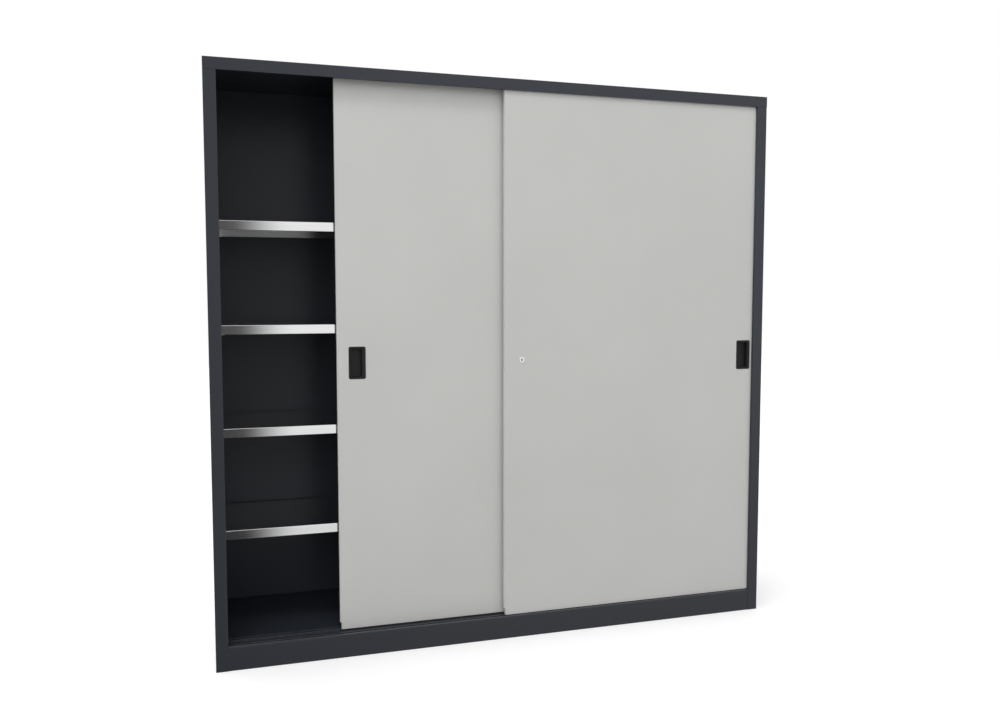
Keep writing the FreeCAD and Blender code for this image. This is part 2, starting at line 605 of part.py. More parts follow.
def shelf_clips(side):
    """Four clips for each shelf of a bay: hook, tongue through the slot, ledge and front leg."""
    sign = mirrored_side(side)[0]
    body = new_body(f"{side}_shelf_clips", f"{sign} * {BAY_MIDDLE}", "0", LOWEST_CLIP)
    face = f"-{BAY_WIDTH} / 2"
    behind = f"{face} - {T} - Sizes.clip_fit"
    ahead = f"{face} + Sizes.clip_fit"
    drop = "-Sizes.clip_drop"
    outline = [
        (f"{behind} - Sizes.clip_leg", drop), (behind, drop), (behind, "0"), (ahead, "0"),
        (ahead, drop), (f"{ahead} + Sizes.clip_leg", drop), (f"{ahead} + Sizes.clip_leg", "0"),
        (f"{face} + Sizes.clip_ledge", "0"), (f"{face} + Sizes.clip_ledge", "Sizes.clip_thickness"),
        (f"{behind} - Sizes.clip_leg", "Sizes.clip_thickness"),
    ]
    start = f"{UPRIGHT_FRONT} + Sizes.upright_width / 2 - Sizes.clip_width / 2"
    add(body, "XZ_Plane", [outline], start, "Sizes.clip_width")
    repeat_whole(body, "Z_Axis", str(SHELVES_PER_BAY), SHELF_STEP)
    repeat_whole(body, "Y_Axis", "2", UPRIGHT_STEP)
    mirror_whole(body, "YZ_Plane")


# ---------------------------------------------------------------- door running gear
def upper_track(label, middle):
    """C section under the top cover in which the rollers of one door run on the rear lip."""
    body = new_body(label)
    width = "Sizes.track_width"
    rear_lip = f"{width} - Sizes.track_slot - Sizes.track_front_lip"
    slot_rear = f"{middle} + {TRACK_SLOT_MIDDLE} + Sizes.track_slot / 2"
    legs = [("+x", rear_lip), ("+y", "Sizes.track_height"), ("-x", width),
            ("-y", "Sizes.track_height"), ("+x", "Sizes.track_front_lip")]
    section = folded((slot_rear, TRACK_BOTTOM), legs, "left", "Sizes.track_wall")[0]
    add(body, "YZ_Plane", [section], f"-{SIDE_SKIN}", f"2 * {SIDE_SKIN}")


def hanger(door, end):
    """Angle on the upper edge of a door, with the stud on which its roller turns."""
    door_x, middle, _ = DOOR_PLACES[door]
    sign = END_SIGNS[end]
    body = new_body(f"{door}_{end}_hanger", f"{door_x} + {sign} * {STUD_X}", middle, DOOR_TOP)
    foot = rectangle("-Sizes.hanger_foot_length / 2", LEG_FRONT,
                     "Sizes.hanger_foot_length / 2", f"{LEG_FRONT} + Sizes.hanger_foot_width")
    add(body, "XY_Plane", [foot], "0", "Sizes.hanger_thickness")
    leg_top = f"{STUD_RISE} + Sizes.hanger_land"
    leg = [("-Sizes.hanger_leg_base / 2", "0"), ("Sizes.hanger_leg_base / 2", "0"),
           ("Sizes.hanger_leg_top / 2", leg_top), ("-Sizes.hanger_leg_top / 2", leg_top)]
    add(body, "XZ_Plane", [leg], LEG_FRONT, "Sizes.hanger_thickness")
    add(body, "XZ_Plane", [("0", STUD_RISE, "Sizes.stud_diameter")], f"{LEG_FRONT} + Sizes.hanger_thickness",
        "Sizes.roller_side_gap + Sizes.roller_width + Sizes.stud_end")


def roller(door, end):
    """Nylon roller on the stud of a hanger."""
    door_x, middle, _ = DOOR_PLACES[door]
    sign = END_SIGNS[end]
    body = new_body(f"{door}_{end}_roller", f"{door_x} + {sign} * {STUD_X}", middle, STUD_LEVEL)
    bore = "Sizes.stud_diameter / 2 + Sizes.stud_fit"
    rim = "Sizes.roller_diameter / 2"
    near = f"{LEG_FRONT} + Sizes.hanger_thickness + Sizes.roller_side_gap"
    far = f"{near} + Sizes.roller_width"
    revolve(body, [(bore, near), (rim, near), (rim, far), (bore, far)])


def hexagon(flats, x="0", y="0"):
    """Corners of a regular hexagon, given across flats."""
    side = f"({flats}) / sqrt(3)"
    half = f"({flats}) / 2"
    return [(f"{x} + {side}", y), (f"{x} + {side} / 2", f"{y} + {half}"), (f"{x} - {side} / 2", f"{y} + {half}"),
            (f"{x} - {side}", y), (f"{x} - {side} / 2", f"{y} - {half}"), (f"{x} + {side} / 2", f"{y} - {half}")]


def door_guides(door):
    """Shoe behind each notched corner of a door, with two legs astride the guide rib."""
    door_x, _, face = DOOR_PLACES[door]
    body = new_body(f"{door}_guides", door_x, face, DOOR_BOTTOM)
    inner = f"({SHOE_END} - Sizes.guide_length)"
    block = rectangle(f"-{SHOE_END}", T, f"-{inner}", "Sizes.guide_height")
    add(body, "XZ_Plane", [block], T, f"Sizes.door_thickness - 2 * {T}")
    middle = "Sizes.door_thickness / 2"
    drop = "(Sizes.door_floor_gap + Sizes.track_bed_drop - Sizes.guide_floor_gap)"
    reach = f"({RIB_CLEAR} + Sizes.guide_leg)"
    outer = f"({SHOE_END} - Sizes.guide_fit)"
    legs = rectangle(f"-{outer}", f"{middle} - {reach}", f"-{inner}", f"{middle} + {reach}")
    add(body, "XY_Plane", [legs], f"-{drop}", f"{drop} + {T}")
    groove = rectangle(f"-{SHOE_END}", f"{middle} - {RIB_CLEAR}", f"-{inner}", f"{middle} + {RIB_CLEAR}")
    cut(body, "XY_Plane", [groove], f"-{drop}", f"{drop} + 2 * {T}")
    mirror_whole(body, "YZ_Plane")


def door_buffers():
    """Rubber buffers on the side skins, in line with the edges of both doors."""
    body = new_body("door_buffers")
    thickness = "Sizes.door_end_gap - Sizes.buffer_gap"
    pad = centred("Sizes.buffer_width", "Sizes.buffer_height", FRONT_DOOR_MIDDLE, "Sizes.buffer_level")
    add(body, "YZ_Plane", [pad], f"-{SIDE_SKIN}", thickness)
    repeat_whole(body, "Y_Axis", "2", "Sizes.door_pitch")
    mirror_whole(body, "YZ_Plane")


# ---------------------------------------------------------------- doors
def door_panel(door):
    """Door skin with folded edges and lined corner notches, cut for its handle, lock and guides."""
    door_x, _, face = DOOR_PLACES[door]
    body = new_body(f"{door}_panel", door_x, face, DOOR_BOTTOM)
    outside = rectangle(f"-{HALF_DOOR}", "0", HALF_DOOR, DOOR_HEIGHT)
    add(body, "XZ_Plane", [outside], "0", "Sizes.door_thickness")
    round_corners(body, "XY_Plane", [(f"-{HALF_DOOR}", "0"), (HALF_DOOR, "0")], "Sizes.bend_radius")
    inside = rectangle(f"-{HALF_DOOR} + {T}", T, f"{HALF_DOOR} - {T}", f"{DOOR_HEIGHT} - {T}")
    cut(body, "XZ_Plane", [inside], T, f"Sizes.door_thickness - {T}")
    fold = "Sizes.door_return"
    window = rectangle(f"-{HALF_DOOR} + {fold}", fold, f"{HALF_DOOR} - {fold}", f"{DOOR_HEIGHT} - {fold}")
    add(body, "XZ_Plane", [inside, window], f"Sizes.door_thickness - {T}", T)
    middle = "Sizes.door_thickness / 2"
    reach = f"({RIB_CLEAR} + Sizes.guide_leg + Sizes.guide_fit)"
    side_fold = f"({HALF_DOOR} - {T})"
    roof = f"Sizes.notch_height + {T}"
    for sign in ("-1", "1"):
        notch = rectangle(f"{sign} * {NOTCH_END}", "0", f"{sign} * {HALF_DOOR}", "Sizes.notch_height")
        cut(body, "XZ_Plane", [notch], "0", "Sizes.door_thickness")
        lining = [(f"{sign} * {SHOE_END}", T), (f"{sign} * {NOTCH_END}", T),
                  (f"{sign} * {NOTCH_END}", "Sizes.notch_height"), (f"{sign} * {side_fold}", "Sizes.notch_height"),
                  (f"{sign} * {side_fold}", roof), (f"{sign} * {SHOE_END}", roof)]
        add(body, "XZ_Plane", [lining], T, f"Sizes.door_thickness - 2 * {T}")
        slot = rectangle(f"{sign} * {SHOE_END}", f"{middle} - {reach}",
                         f"{sign} * ({SHOE_END} - Sizes.guide_length - Sizes.guide_fit)", f"{middle} + {reach}")
        cut(body, "XY_Plane", [slot], "0", T)
    handle_cut = centred(f"{CUP_WIDTH} + 2 * Sizes.handle_wall + 2 * Sizes.handle_fit",
                         f"{CUP_HEIGHT} + 2 * Sizes.handle_wall + 2 * Sizes.handle_fit",
                         f"{HANDLE_X[door]} + {CUP_X}", FITTING_RISE)
    cut(body, "XZ_Plane", [handle_cut], "0", T)
    if door == "right_door":
        bore = (LOCK_X, FITTING_RISE, "Sizes.lock_barrel_diameter + 2 * Sizes.lock_hole_fit")
        cut(body, "XZ_Plane", [bore], "0", T)


def door_stiffeners(door):
    """Two upright hat sections bonded to the back of the door skin."""
    door_x, _, face = DOOR_PLACES[door]
    body = new_body(f"{door}_stiffeners", door_x, face, DOOR_BOTTOM)
    start = "-Sizes.stiffener_spacing / 2 - Sizes.stiffener_crown / 2 - Sizes.stiffener_foot"
    legs = [("+x", "Sizes.stiffener_foot"), ("+y", "Sizes.stiffener_rise"), ("+x", "Sizes.stiffener_crown"),
            ("-y", "Sizes.stiffener_rise"), ("+x", "Sizes.stiffener_foot")]
    section = folded((start, T), legs, "left")[0]
    add(body, "XY_Plane", [section], "Sizes.stiffener_end_gap", f"{DOOR_HEIGHT} - 2 * Sizes.stiffener_end_gap")
    mirror_whole(body, "YZ_Plane")


def recessed_handle(door):
    """Moulded shell: face plate, beaded rim, cup behind the door skin and snap lugs."""
    door_x, _, face = DOOR_PLACES[door]
    body = new_body(door.replace("door", "handle"), f"{door_x} + {HANDLE_X[door]}", face, "Sizes.fitting_level")
    plate = centred("Sizes.handle_width", "Sizes.handle_height")
    add(body, "XZ_Plane", [plate], "-Sizes.handle_plate", "Sizes.handle_plate")
    round_corners(body, "XZ_Plane", plate, "Sizes.handle_corner")
    chamfer_rim(body, 1, "-Sizes.handle_plate", "Sizes.handle_edge")
    cup = centred(f"{CUP_WIDTH} + 2 * Sizes.handle_wall", f"{CUP_HEIGHT} + 2 * Sizes.handle_wall", CUP_X)
    add(body, "XZ_Plane", [cup], "0", "Sizes.handle_cup_depth + Sizes.handle_wall")
    bead = centred(f"{CUP_WIDTH} + 2 * Sizes.handle_bead", f"{CUP_HEIGHT} + 2 * Sizes.handle_bead", CUP_X)
    add(body, "XZ_Plane", [bead], "-Sizes.handle_plate - Sizes.handle_bead_height", "Sizes.handle_bead_height")
    hollow = centred(CUP_WIDTH, CUP_HEIGHT, CUP_X)
    cut(body, "XZ_Plane", [hollow], "-Sizes.handle_plate - Sizes.handle_bead_height",
        "Sizes.handle_plate + Sizes.handle_bead_height + Sizes.handle_cup_depth")
    round_corners(body, "XZ_Plane", hollow, "Sizes.handle_cup_corner")
    outside = f"({CUP_HEIGHT} / 2 + Sizes.handle_wall)"
    for sign in ("-1", "1"):
        lug = rectangle(f"{CUP_X} - {CUP_WIDTH} / 4", f"{sign} * {outside}",
                        f"{CUP_X} + {CUP_WIDTH} / 4", f"{sign} * ({outside} + Sizes.handle_lug)")
        add(body, "XZ_Plane", [lug], f"{T} + Sizes.handle_fit", "2 * Sizes.handle_lug")


# ---------------------------------------------------------------- lock
def lock_housing():
    """Head and barrel of the lock, turned about Y."""
    body = new_body("lock_housing", f"{RIGHT_DOOR_X} + {LOCK_X}", FRONT_DOOR_FACE, "Sizes.fitting_level")
    bore = "Sizes.lock_plug_diameter / 2 + Sizes.lock_plug_fit"
    head = "Sizes.lock_ring_diameter / 2"
    barrel = "Sizes.lock_barrel_diameter / 2"
    front = "-Sizes.lock_ring_height"
    chamfer = "Sizes.lock_ring_chamfer"
    revolve(body, [(bore, front), (f"{head} - {chamfer}", front), (head, f"{front} + {chamfer}"), (head, "0"),
                   (barrel, "0"), (barrel, "Sizes.lock_barrel_length"), (bore, "Sizes.lock_barrel_length")])


def lock_plug():
    """Turning plug with its key slot and the square end that drives the cam."""
    body = new_body("lock_plug", f"{RIGHT_DOOR_X} + {LOCK_X}", FRONT_DOOR_FACE, "Sizes.fitting_level")
    front = "-Sizes.lock_ring_height + Sizes.lock_plug_recess"
    radius = "Sizes.lock_plug_diameter / 2"
    revolve(body, [("0", front), (radius, front), (radius, CAM_FRONT), ("0", CAM_FRONT)])
    add(body, "XZ_Plane", [centred("Sizes.cam_square", "Sizes.cam_square")], CAM_FRONT, "Sizes.cam_thickness")
    cut(body, "XZ_Plane", [centred("Sizes.keyway_width", "Sizes.keyway_height")], front, "Sizes.keyway_depth")


def lock_clip():
    """Fork pushed over the barrel behind the door skin."""
    body = new_body("lock_clip", f"{RIGHT_DOOR_X} + {LOCK_X}", FRONT_DOOR_FACE, "Sizes.fitting_level")
    gap = "Sizes.lock_barrel_diameter / 2 + Sizes.lock_hole_fit"
    half = "Sizes.lock_clip_width / 2"
    tall = "Sizes.lock_clip_height / 2"
    fork = [(f"-({half})", f"-({tall})"), (f"-({gap})", f"-({tall})"), (f"-({gap})", gap), (gap, gap),
            (gap, f"-({tall})"), (half, f"-({tall})"), (half, tall), (f"-({half})", tall)]
    add(body, "XZ_Plane", [fork], T, "Sizes.lock_clip_thickness")


def lock_cam():
    """Cam on the plug: arm hanging down as built, and a tip bent towards the rear door."""
    body = new_body("lock_cam", f"{RIGHT_DOOR_X} + {LOCK_X}", FRONT_DOOR_FACE, "Sizes.fitting_level")
    half = "Sizes.cam_width / 2"
    tip_half = "Sizes.cam_tip_width / 2"
    square = centred("Sizes.cam_square", "Sizes.cam_square")
    low = "-Sizes.cam_reach"
    arm = [(f"-{tip_half}", low), (tip_half, low), (half, f"-{half}"), (half, "Sizes.cam_head"),
           (f"-{half}", "Sizes.cam_head"), (f"-{half}", f"-{half}")]
    add(body, "XZ_Plane", [arm, square], CAM_FRONT, "Sizes.cam_thickness")
    tip = rectangle(f"-{tip_half}", low, tip_half, f"{low} + Sizes.cam_thickness")
    add(body, "XZ_Plane", [tip], CAM_FRONT, "Sizes.cam_thickness + Sizes.cam_tip_length")


def cam_bolt():
    """Hexagon head that holds the cam on the plug."""
    place = f"{FRONT_DOOR_FACE} + {CAM_FRONT} + Sizes.cam_thickness"
    body = new_body("cam_bolt", f"{RIGHT_DOOR_X} + {LOCK_X}", place, "Sizes.fitting_level")
    add(body, "XZ_Plane", [hexagon("Sizes.cam_bolt_flats")], "0", "Sizes.cam_bolt_height")


def lock_catch():
    """Angle at the inner edge of the rear door that the cam tip stands against when locked."""
    body = new_body("lock_catch", LEFT_DOOR_X, REAR_DOOR_FACE, "Sizes.fitting_level")
    legs = [("+y", "Sizes.catch_reach"), ("-x", "Sizes.catch_foot")]
    add_folded(body, "XY_Plane", (HALF_DOOR, "-Sizes.catch_reach"), legs, "left",
               "-Sizes.catch_height / 2", "Sizes.catch_height", "Sizes.catch_thickness", "Sizes.catch_thickness")


# Where each door stands: middle along X, middle plane and front face.
DOOR_PLACES = {
    "left_door": (LEFT_DOOR_X, REAR_DOOR_MIDDLE, REAR_DOOR_FACE),
    "right_door": (RIGHT_DOOR_X, FRONT_DOOR_MIDDLE, FRONT_DOOR_FACE),
}
END_SIGNS = {"left": "-1", "right": "1"}
HANDLE_X = {
    "left_door": f"(Sizes.handle_offset - {HALF_DOOR})",
    "right_door": f"({HALF_DOOR} - Sizes.handle_offset)",
}
CUP_WIDTH = "(Sizes.handle_width - Sizes.handle_margin - Sizes.handle_grip)"
CUP_HEIGHT = "(Sizes.handle_height - 2 * Sizes.handle_margin)"
CUP_X = "((Sizes.handle_margin - Sizes.handle_grip) / 2)"
LOCK_X = f"(Sizes.lock_offset - {HALF_DOOR})"
CAM_FRONT = "(Sizes.lock_barrel_length + Sizes.cam_gap)"
LEG_FRONT = f"({TRACK_SLOT_MIDDLE} - Sizes.hanger_thickness / 2)"
RIB_CLEAR = "(Sizes.guide_rib_width / 2 + Sizes.guide_fit)"
NOTCH_END = f"({HALF_DOOR} - Sizes.notch_width)"
SHOE_END = f"({NOTCH_END} - {T})"

# ---------------------------------------------------------------- build
for side in ("left", "right"):
    side_panel(side)
    back_panel(side)
    partition_sheet(side)
    wall_upright(side)
    corner_post(side)
    for number_from_floor in range(1, SHELVES_PER_BAY + 1):
        shelf(side, number_from_floor)
    shelf_clips(side)
top_cover()
floor_panel()
front_plinth()
rear_plinth()
lower_track()
back_joint_strip()
upper_track("front_upper_track", FRONT_DOOR_MIDDLE)
upper_track("rear_upper_track", REAR_DOOR_MIDDLE)
for door in DOOR_PLACES:
    door_panel(door)
    door_stiffeners(door)
    recessed_handle(door)
    door_guides(door)
    for end in END_SIGNS:
        hanger(door, end)
        roller(door, end)
door_buffers()
lock_housing()
lock_plug()
lock_clip()
lock_cam()
cam_bolt()
lock_catch()
doc.recompute()

# ---------------------------------------------------------------- checks and export
faults = [item.Name for item in doc.Objects if {"Invalid", "Error"} & set(item.State)]
if faults:
    raise RuntimeError(f"failed objects: {faults}")
for item in doc.Objects:
    base = getattr(item, "BaseFeature", None)
    if base is None or item.TypeId == "PartDesign::Body":
        continue
    if item.TypeId == "PartDesign::Pocket" and item.Shape.Volume >= base.Shape.Volume - NEAR:
        raise RuntimeError(f"{item.Name} cuts nothing")
    if item.TypeId == "PartDesign::Pad" and item.Shape.Volume <= base.Shape.Volume + NEAR:
        raise RuntimeError(f"{item.Name} adds nothing")
os.makedirs("parts", exist_ok=True)
for body in parts:
    shape = body.Shape
    if shape.isNull() or not shape.isValid() or not shape.Solids:
        raise RuntimeError(f"{body.Label} is not a valid solid")
for body in parts:
    body.Shape.exportStep(f"parts/{body.Label}.step")
print(f"{len(parts)} parts")
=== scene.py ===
import json
import math

import bmesh
import bpy
from bpy.props import FloatProperty, FloatVectorProperty, IntProperty, PointerProperty
from bpy.types import Operator, Panel, PropertyGroup
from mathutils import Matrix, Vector


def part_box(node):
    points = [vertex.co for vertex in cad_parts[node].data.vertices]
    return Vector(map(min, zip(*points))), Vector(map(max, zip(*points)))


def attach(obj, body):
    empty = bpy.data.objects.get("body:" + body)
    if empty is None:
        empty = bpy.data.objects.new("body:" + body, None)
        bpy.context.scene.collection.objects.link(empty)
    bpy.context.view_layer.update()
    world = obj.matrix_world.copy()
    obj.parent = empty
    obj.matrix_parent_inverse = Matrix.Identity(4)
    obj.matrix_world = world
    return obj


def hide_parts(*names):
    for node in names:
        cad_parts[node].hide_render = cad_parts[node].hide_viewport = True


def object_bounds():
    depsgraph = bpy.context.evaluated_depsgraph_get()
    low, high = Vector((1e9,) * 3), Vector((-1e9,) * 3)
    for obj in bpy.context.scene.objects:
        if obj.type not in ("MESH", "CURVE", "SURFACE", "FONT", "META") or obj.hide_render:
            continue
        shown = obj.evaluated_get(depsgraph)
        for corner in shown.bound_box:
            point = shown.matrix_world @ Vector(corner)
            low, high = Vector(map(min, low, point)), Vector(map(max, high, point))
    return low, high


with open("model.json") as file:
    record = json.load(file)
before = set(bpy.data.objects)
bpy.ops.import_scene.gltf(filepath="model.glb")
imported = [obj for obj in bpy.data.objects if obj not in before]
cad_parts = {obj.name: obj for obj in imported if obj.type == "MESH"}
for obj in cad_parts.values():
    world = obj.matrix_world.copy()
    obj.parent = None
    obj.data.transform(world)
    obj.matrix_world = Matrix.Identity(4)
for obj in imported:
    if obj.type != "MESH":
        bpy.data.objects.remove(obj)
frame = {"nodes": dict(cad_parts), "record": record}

bl_info = {
    "name": "Sliding Door Cabinet",
    "version": (1, 0, 0),
    "blender": (4, 5, 0),
    "location": "View3D > Sidebar > Cabinet",
    "description": "Finishes, handles, lock and fasteners of a steel cabinet with two sliding doors",
    "category": "Object",
}

CAD_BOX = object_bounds()
NODES = frame["nodes"]
MM = 0.001

# Planes and edges of the body, from the frame
FRONT = CAD_BOX[0][1]
SKIN, REAR, TOP = CAD_BOX[1]
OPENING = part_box("front_plinth")[1][0]
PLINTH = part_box("front_plinth")[1][2]
BED_DROP = 4 * MM
BED = PLINTH - BED_DROP
RAIL_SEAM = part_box("left_side_panel")[1][2]
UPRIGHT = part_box("right_wall_upright")
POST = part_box("right_corner_post")


# ---------------------------------------------------------------- settings
def colour_setting(name, description, value):
    return FloatVectorProperty(name=name, description=description, default=value, size=3,
                               subtype="COLOR", min=0, max=1)


def length_setting(name, description, value):
    return FloatProperty(name=name, description=description, default=value, min=0,
                         subtype="DISTANCE", unit="LENGTH", precision=5)


def place_setting(name, description, value):
    return FloatVectorProperty(name=name, description=description, default=value, size=3,
                               subtype="TRANSLATION", unit="LENGTH")


def level_setting(name, description, value):
    return FloatProperty(name=name, description=description, default=value, min=0)


class CabinetFinishSettings(PropertyGroup):
    """Colours of the finishes."""
    body_paint: colour_setting("Body Paint", "Graphite powder coat of the body", (0.0250, 0.0290, 0.0385))
    door_paint: colour_setting("Door Paint", "Light grey powder coat of the doors", (0.490, 0.490, 0.476))
    zinc: colour_setting("Shelf Zinc", "Bright zinc coat of the shelves", (0.90, 0.905, 0.91))
    galvanised: colour_setting("Galvanised Steel", "Zinc coat of the tracks", (0.62, 0.64, 0.65))
    plating: colour_setting("Zinc Plating", "Plated small fittings", (0.66, 0.67, 0.69))
    chrome: colour_setting("Chrome", "Head and plug of the lock", (0.93, 0.93, 0.94))
    black_plastic: colour_setting("Black Plastic", "Moulded handles and shoes", (0.0085, 0.0085, 0.0088))
    nylon: colour_setting("Nylon", "Rollers", (0.78, 0.77, 0.72))
    rubber: colour_setting("Rubber", "Door buffers", (0.018, 0.018, 0.019))


class CabinetHandleSettings(PropertyGroup):
    """Sizes of the recessed handles."""
    face_width: length_setting("Face Width", "Handle face along X", 0.057)
    face_height: length_setting("Face Height", "Handle face along Z", 0.109)
    face_corner: length_setting("Face Corner", "Corner radius of the handle face", 0.006)
    face_round: length_setting("Face Round", "Round of the outer edge of the face", 0.0009)
    plate: length_setting("Plate", "Handle face in front of the door", 0.0015)
    bead: length_setting("Bead", "Bead round the cup, in front of the plate", 0.0006)
    bead_width: length_setting("Bead Width", "Bead round the cup", 0.0016)
    bead_inner: length_setting("Bead Inner Round", "Round of the bead towards the cup", 0.0006)
    bead_outer: length_setting("Bead Outer Round", "Round of the bead towards the plate", 0.0005)
    cup_width: length_setting("Cup Width", "Opening of the cup along X", 0.0385)
    cup_height: length_setting("Cup Height", "Opening of the cup along Z", 0.096)
    cup_depth: length_setting("Cup Depth", "Cup behind the door face", 0.0145)
    cup_corner: length_setting("Cup Corner", "Corner radius of the opening of the cup", 0.003)
    cup_draft: length_setting("Cup Draft", "Taper of the cup behind its ledge", 0.0008)
    cup_fillet: length_setting("Cup Fillet", "Round between the walls and the floor of the cup", 0.0025)
    cup_offset: FloatProperty(name="Cup Offset", description="Middle of the cup from the middle of the face",
                              default=-0.00275, subtype="DISTANCE", unit="LENGTH", precision=5)
    wall: length_setting("Wall", "Wall of the cup", 0.0012)
    ledge_depth: length_setting("Ledge Depth", "Ledge in the cup behind the handle face", 0.0045)
    ledge_width: length_setting("Ledge Width", "Ledge in the cup, all round", 0.0013)


class CabinetLockSettings(PropertyGroup):
    """Sizes of the lock."""
    head_rise: length_setting("Head Rise", "Head of the lock in front of the door", 0.0025)
    head_face: length_setting("Head Face", "Diameter of the flat front of the head", 0.0188)
    head_round: length_setting("Head Round", "Depth of the round at the rim of the head", 0.0015)
    bore: length_setting("Bore", "Diameter of the bore in which the plug turns", 0.0131)
    barrel: length_setting("Barrel", "Diameter of the threaded barrel", 0.019)
    taper: length_setting("Taper", "Smaller radius at the end of the barrel", 0.0003)
    thread_pitch: length_setting("Thread Pitch", "From one thread to the next", 0.001)
    thread_depth: length_setting("Thread Depth", "Depth of the thread", 0.00045)
    thread_start: length_setting("Thread Start", "Plain barrel behind the head", 0.0006)
    thread_room: length_setting("Thread Room", "Plain barrel at both ends together", 0.0015)
    # The worn eye of these two sizes is painted shade: a darker patch round the key slot, where the plug sits
    # in shade behind the head
    eye_width: length_setting("Eye Width", "Worn eye round the key slot, along X", 0.0064)
    eye_height: length_setting("Eye Height", "Worn eye round the key slot, along Z", 0.0096)


class CabinetFastenerSettings(PropertyGroup):
    """Sizes of rivets and screws."""
    rivet_diameter: length_setting("Rivet Diameter", "Head of the blind rivets in the back", 0.0066)
    rivet_height: length_setting("Rivet Height", "Head of the blind rivets in the back", 0.0012)
    rivet_pitch: length_setting("Rivet Pitch", "Height between two blind rivets", 0.150)
    rivet_margin: length_setting("Rivet Margin", "Least length without rivets, both ends together", 0.12)
    screw_flats: length_setting("Screw Flats", "Hexagon head of the hanger screws, across flats", 0.007)
    screw_height: length_setting("Screw Height", "Hexagon head of the hanger screws", 0.0028)
    screw_spacing: length_setting("Screw Spacing", "Between the two screws of a hanger", 0.048)
    screw_set_in: length_setting("Screw Set In", "Screws behind the front edge of the hanger", 0.0063)
    washer_diameter: length_setting("Washer Diameter", "Flange under the hexagon heads", 0.0095)
    foot_thickness: length_setting("Foot Thickness", "Foot of a hanger under the screws", 0.002)
    seed: IntProperty(name="Seed", description="Seed of the turn of each head", default=7, min=0)


class CabinetStageSettings(PropertyGroup):
    """Camera, floor and light."""
    lens: FloatProperty(name="Lens", description="Focal length on a 36 mm sensor", default=32.34,
                        min=1, subtype="DISTANCE_CAMERA")
    camera_place: place_setting("Camera Place", "Where the camera stands", (-0.9576, -3.2109, 1.2270))
    camera_heading: FloatProperty(name="Camera Heading", description="Turn of the view from +Y towards +X",
                                  default=math.radians(17.19), subtype="ANGLE", unit="ROTATION")
    camera_dip: FloatProperty(name="Camera Dip", description="Tilt of the view below the horizon",
                              default=math.radians(4.16), subtype="ANGLE", unit="ROTATION")
    sky: level_setting("Sky", "Level of the light from above the horizon", 2.02)
    ground: level_setting("Ground", "Level of the light from below the horizon", 0.70)
    aside: level_setting("Aside", "Share of the light that comes from the right", 0.10)
    strip: level_setting("Strip", "Level of the upright light beside the camera", 1.3)
    beside: level_setting("Beside", "Level of the upright light on the right", 0.90)
    key: FloatProperty(name="Key", description="Power of the long lamp over the front", default=88.0, min=0,
                       subtype="POWER", unit="POWER")
    key_length: length_setting("Key Length", "Long side of the lamp over the front", 5.0)
    key_width: length_setting("Key Width", "Short side of the lamp over the front", 0.7)
    key_place: place_setting("Key Place", "Where the lamp over the front hangs", (-1.2, -3.1, 6.0))
    key_aim: place_setting("Key Aim", "Where the lamp over the front points", (-0.2, FRONT, 1.9))
    floor_size: length_setting("Floor Size", "Side of the floor", 24.0)
    floor_tone: level_setting("Floor Tone", "Floor as it lights the cabinet", 0.55)
    floor_seen: level_setting("Floor Seen", "Floor as the camera sees it", 0.70)
    floor_glow: level_setting("Floor Glow", "Light added to the floor that the camera sees", 0.45)


SETTINGS = {
    "cabinet_finish": CabinetFinishSettings,
    "cabinet_handle": CabinetHandleSettings,
    "cabinet_lock": CabinetLockSettings,
    "cabinet_fasteners": CabinetFastenerSettings,
    "cabinet_stage": CabinetStageSettings,
}


# ---------------------------------------------------------------- node trees
class Nodes:
    """A node tree, with short calls that add nodes and join them."""

    def __init__(self, tree):
        self.tree = tree
        tree.nodes.clear()

    def add(self, kind, inputs=None, **options):
        node = self.tree.nodes.new(kind)
        for name, value in options.items():
            setattr(node, name, value)
        for key, value in (inputs or {}).items():
            if isinstance(value, bpy.types.NodeSocket):
                self.tree.links.new(value, node.inputs[key])
            else:
                node.inputs[key].default_value = value
        return node

    def math(self, operation, first, second=0.0, third=0.0):
        return self.add("ShaderNodeMath", {0: first, 1: second, 2: third}, operation=operation).outputs[0]

    def ramp(self, value, low, high, start=0.0, end=1.0, smooth=True):
        """Value between low and high made a value between start and end."""
        kind = "SMOOTHSTEP" if smooth else "LINEAR"
        return self.add("ShaderNodeMapRange", {"Value": value, "From Min": low, "From Max": high,
                                               "To Min": start, "To Max": end},
                        interpolation_type=kind).outputs[0]

    def mix(self, factor, first, second):
        """First colour at a factor of 0, second at 1."""
        return self.add("ShaderNodeMix", {0: factor, 6: first, 7: second}, data_type="RGBA").outputs[2]

    def mix_levels(self, factor, first, second):
        """First level at a factor of 0, second at 1."""
        return self.add("ShaderNodeMix", {0: factor, 2: first, 3: second}, data_type="FLOAT").outputs[0]

    def above(self, value, level):
        return self.math("GREATER_THAN", value, level)

    def below(self, value, level):
        return self.math("LESS_THAN", value, level)

    def product(self, value, *factors):
        for factor in factors:
            value = self.math("MULTIPLY", value, factor)
        return value

    def noise(self, place, scale, detail=2.0, stretch=None):
        if stretch:
            place = self.add("ShaderNodeMapping", {"Vector": place, "Scale": stretch}).outputs[0]
        return self.add("ShaderNodeTexNoise", {"Vector": place, "Scale": scale, "Detail": detail}).outputs[0]


def rgba(colour, factor=1.0):
    return (*(min(channel * factor, 1.0) for channel in colour), 1.0)


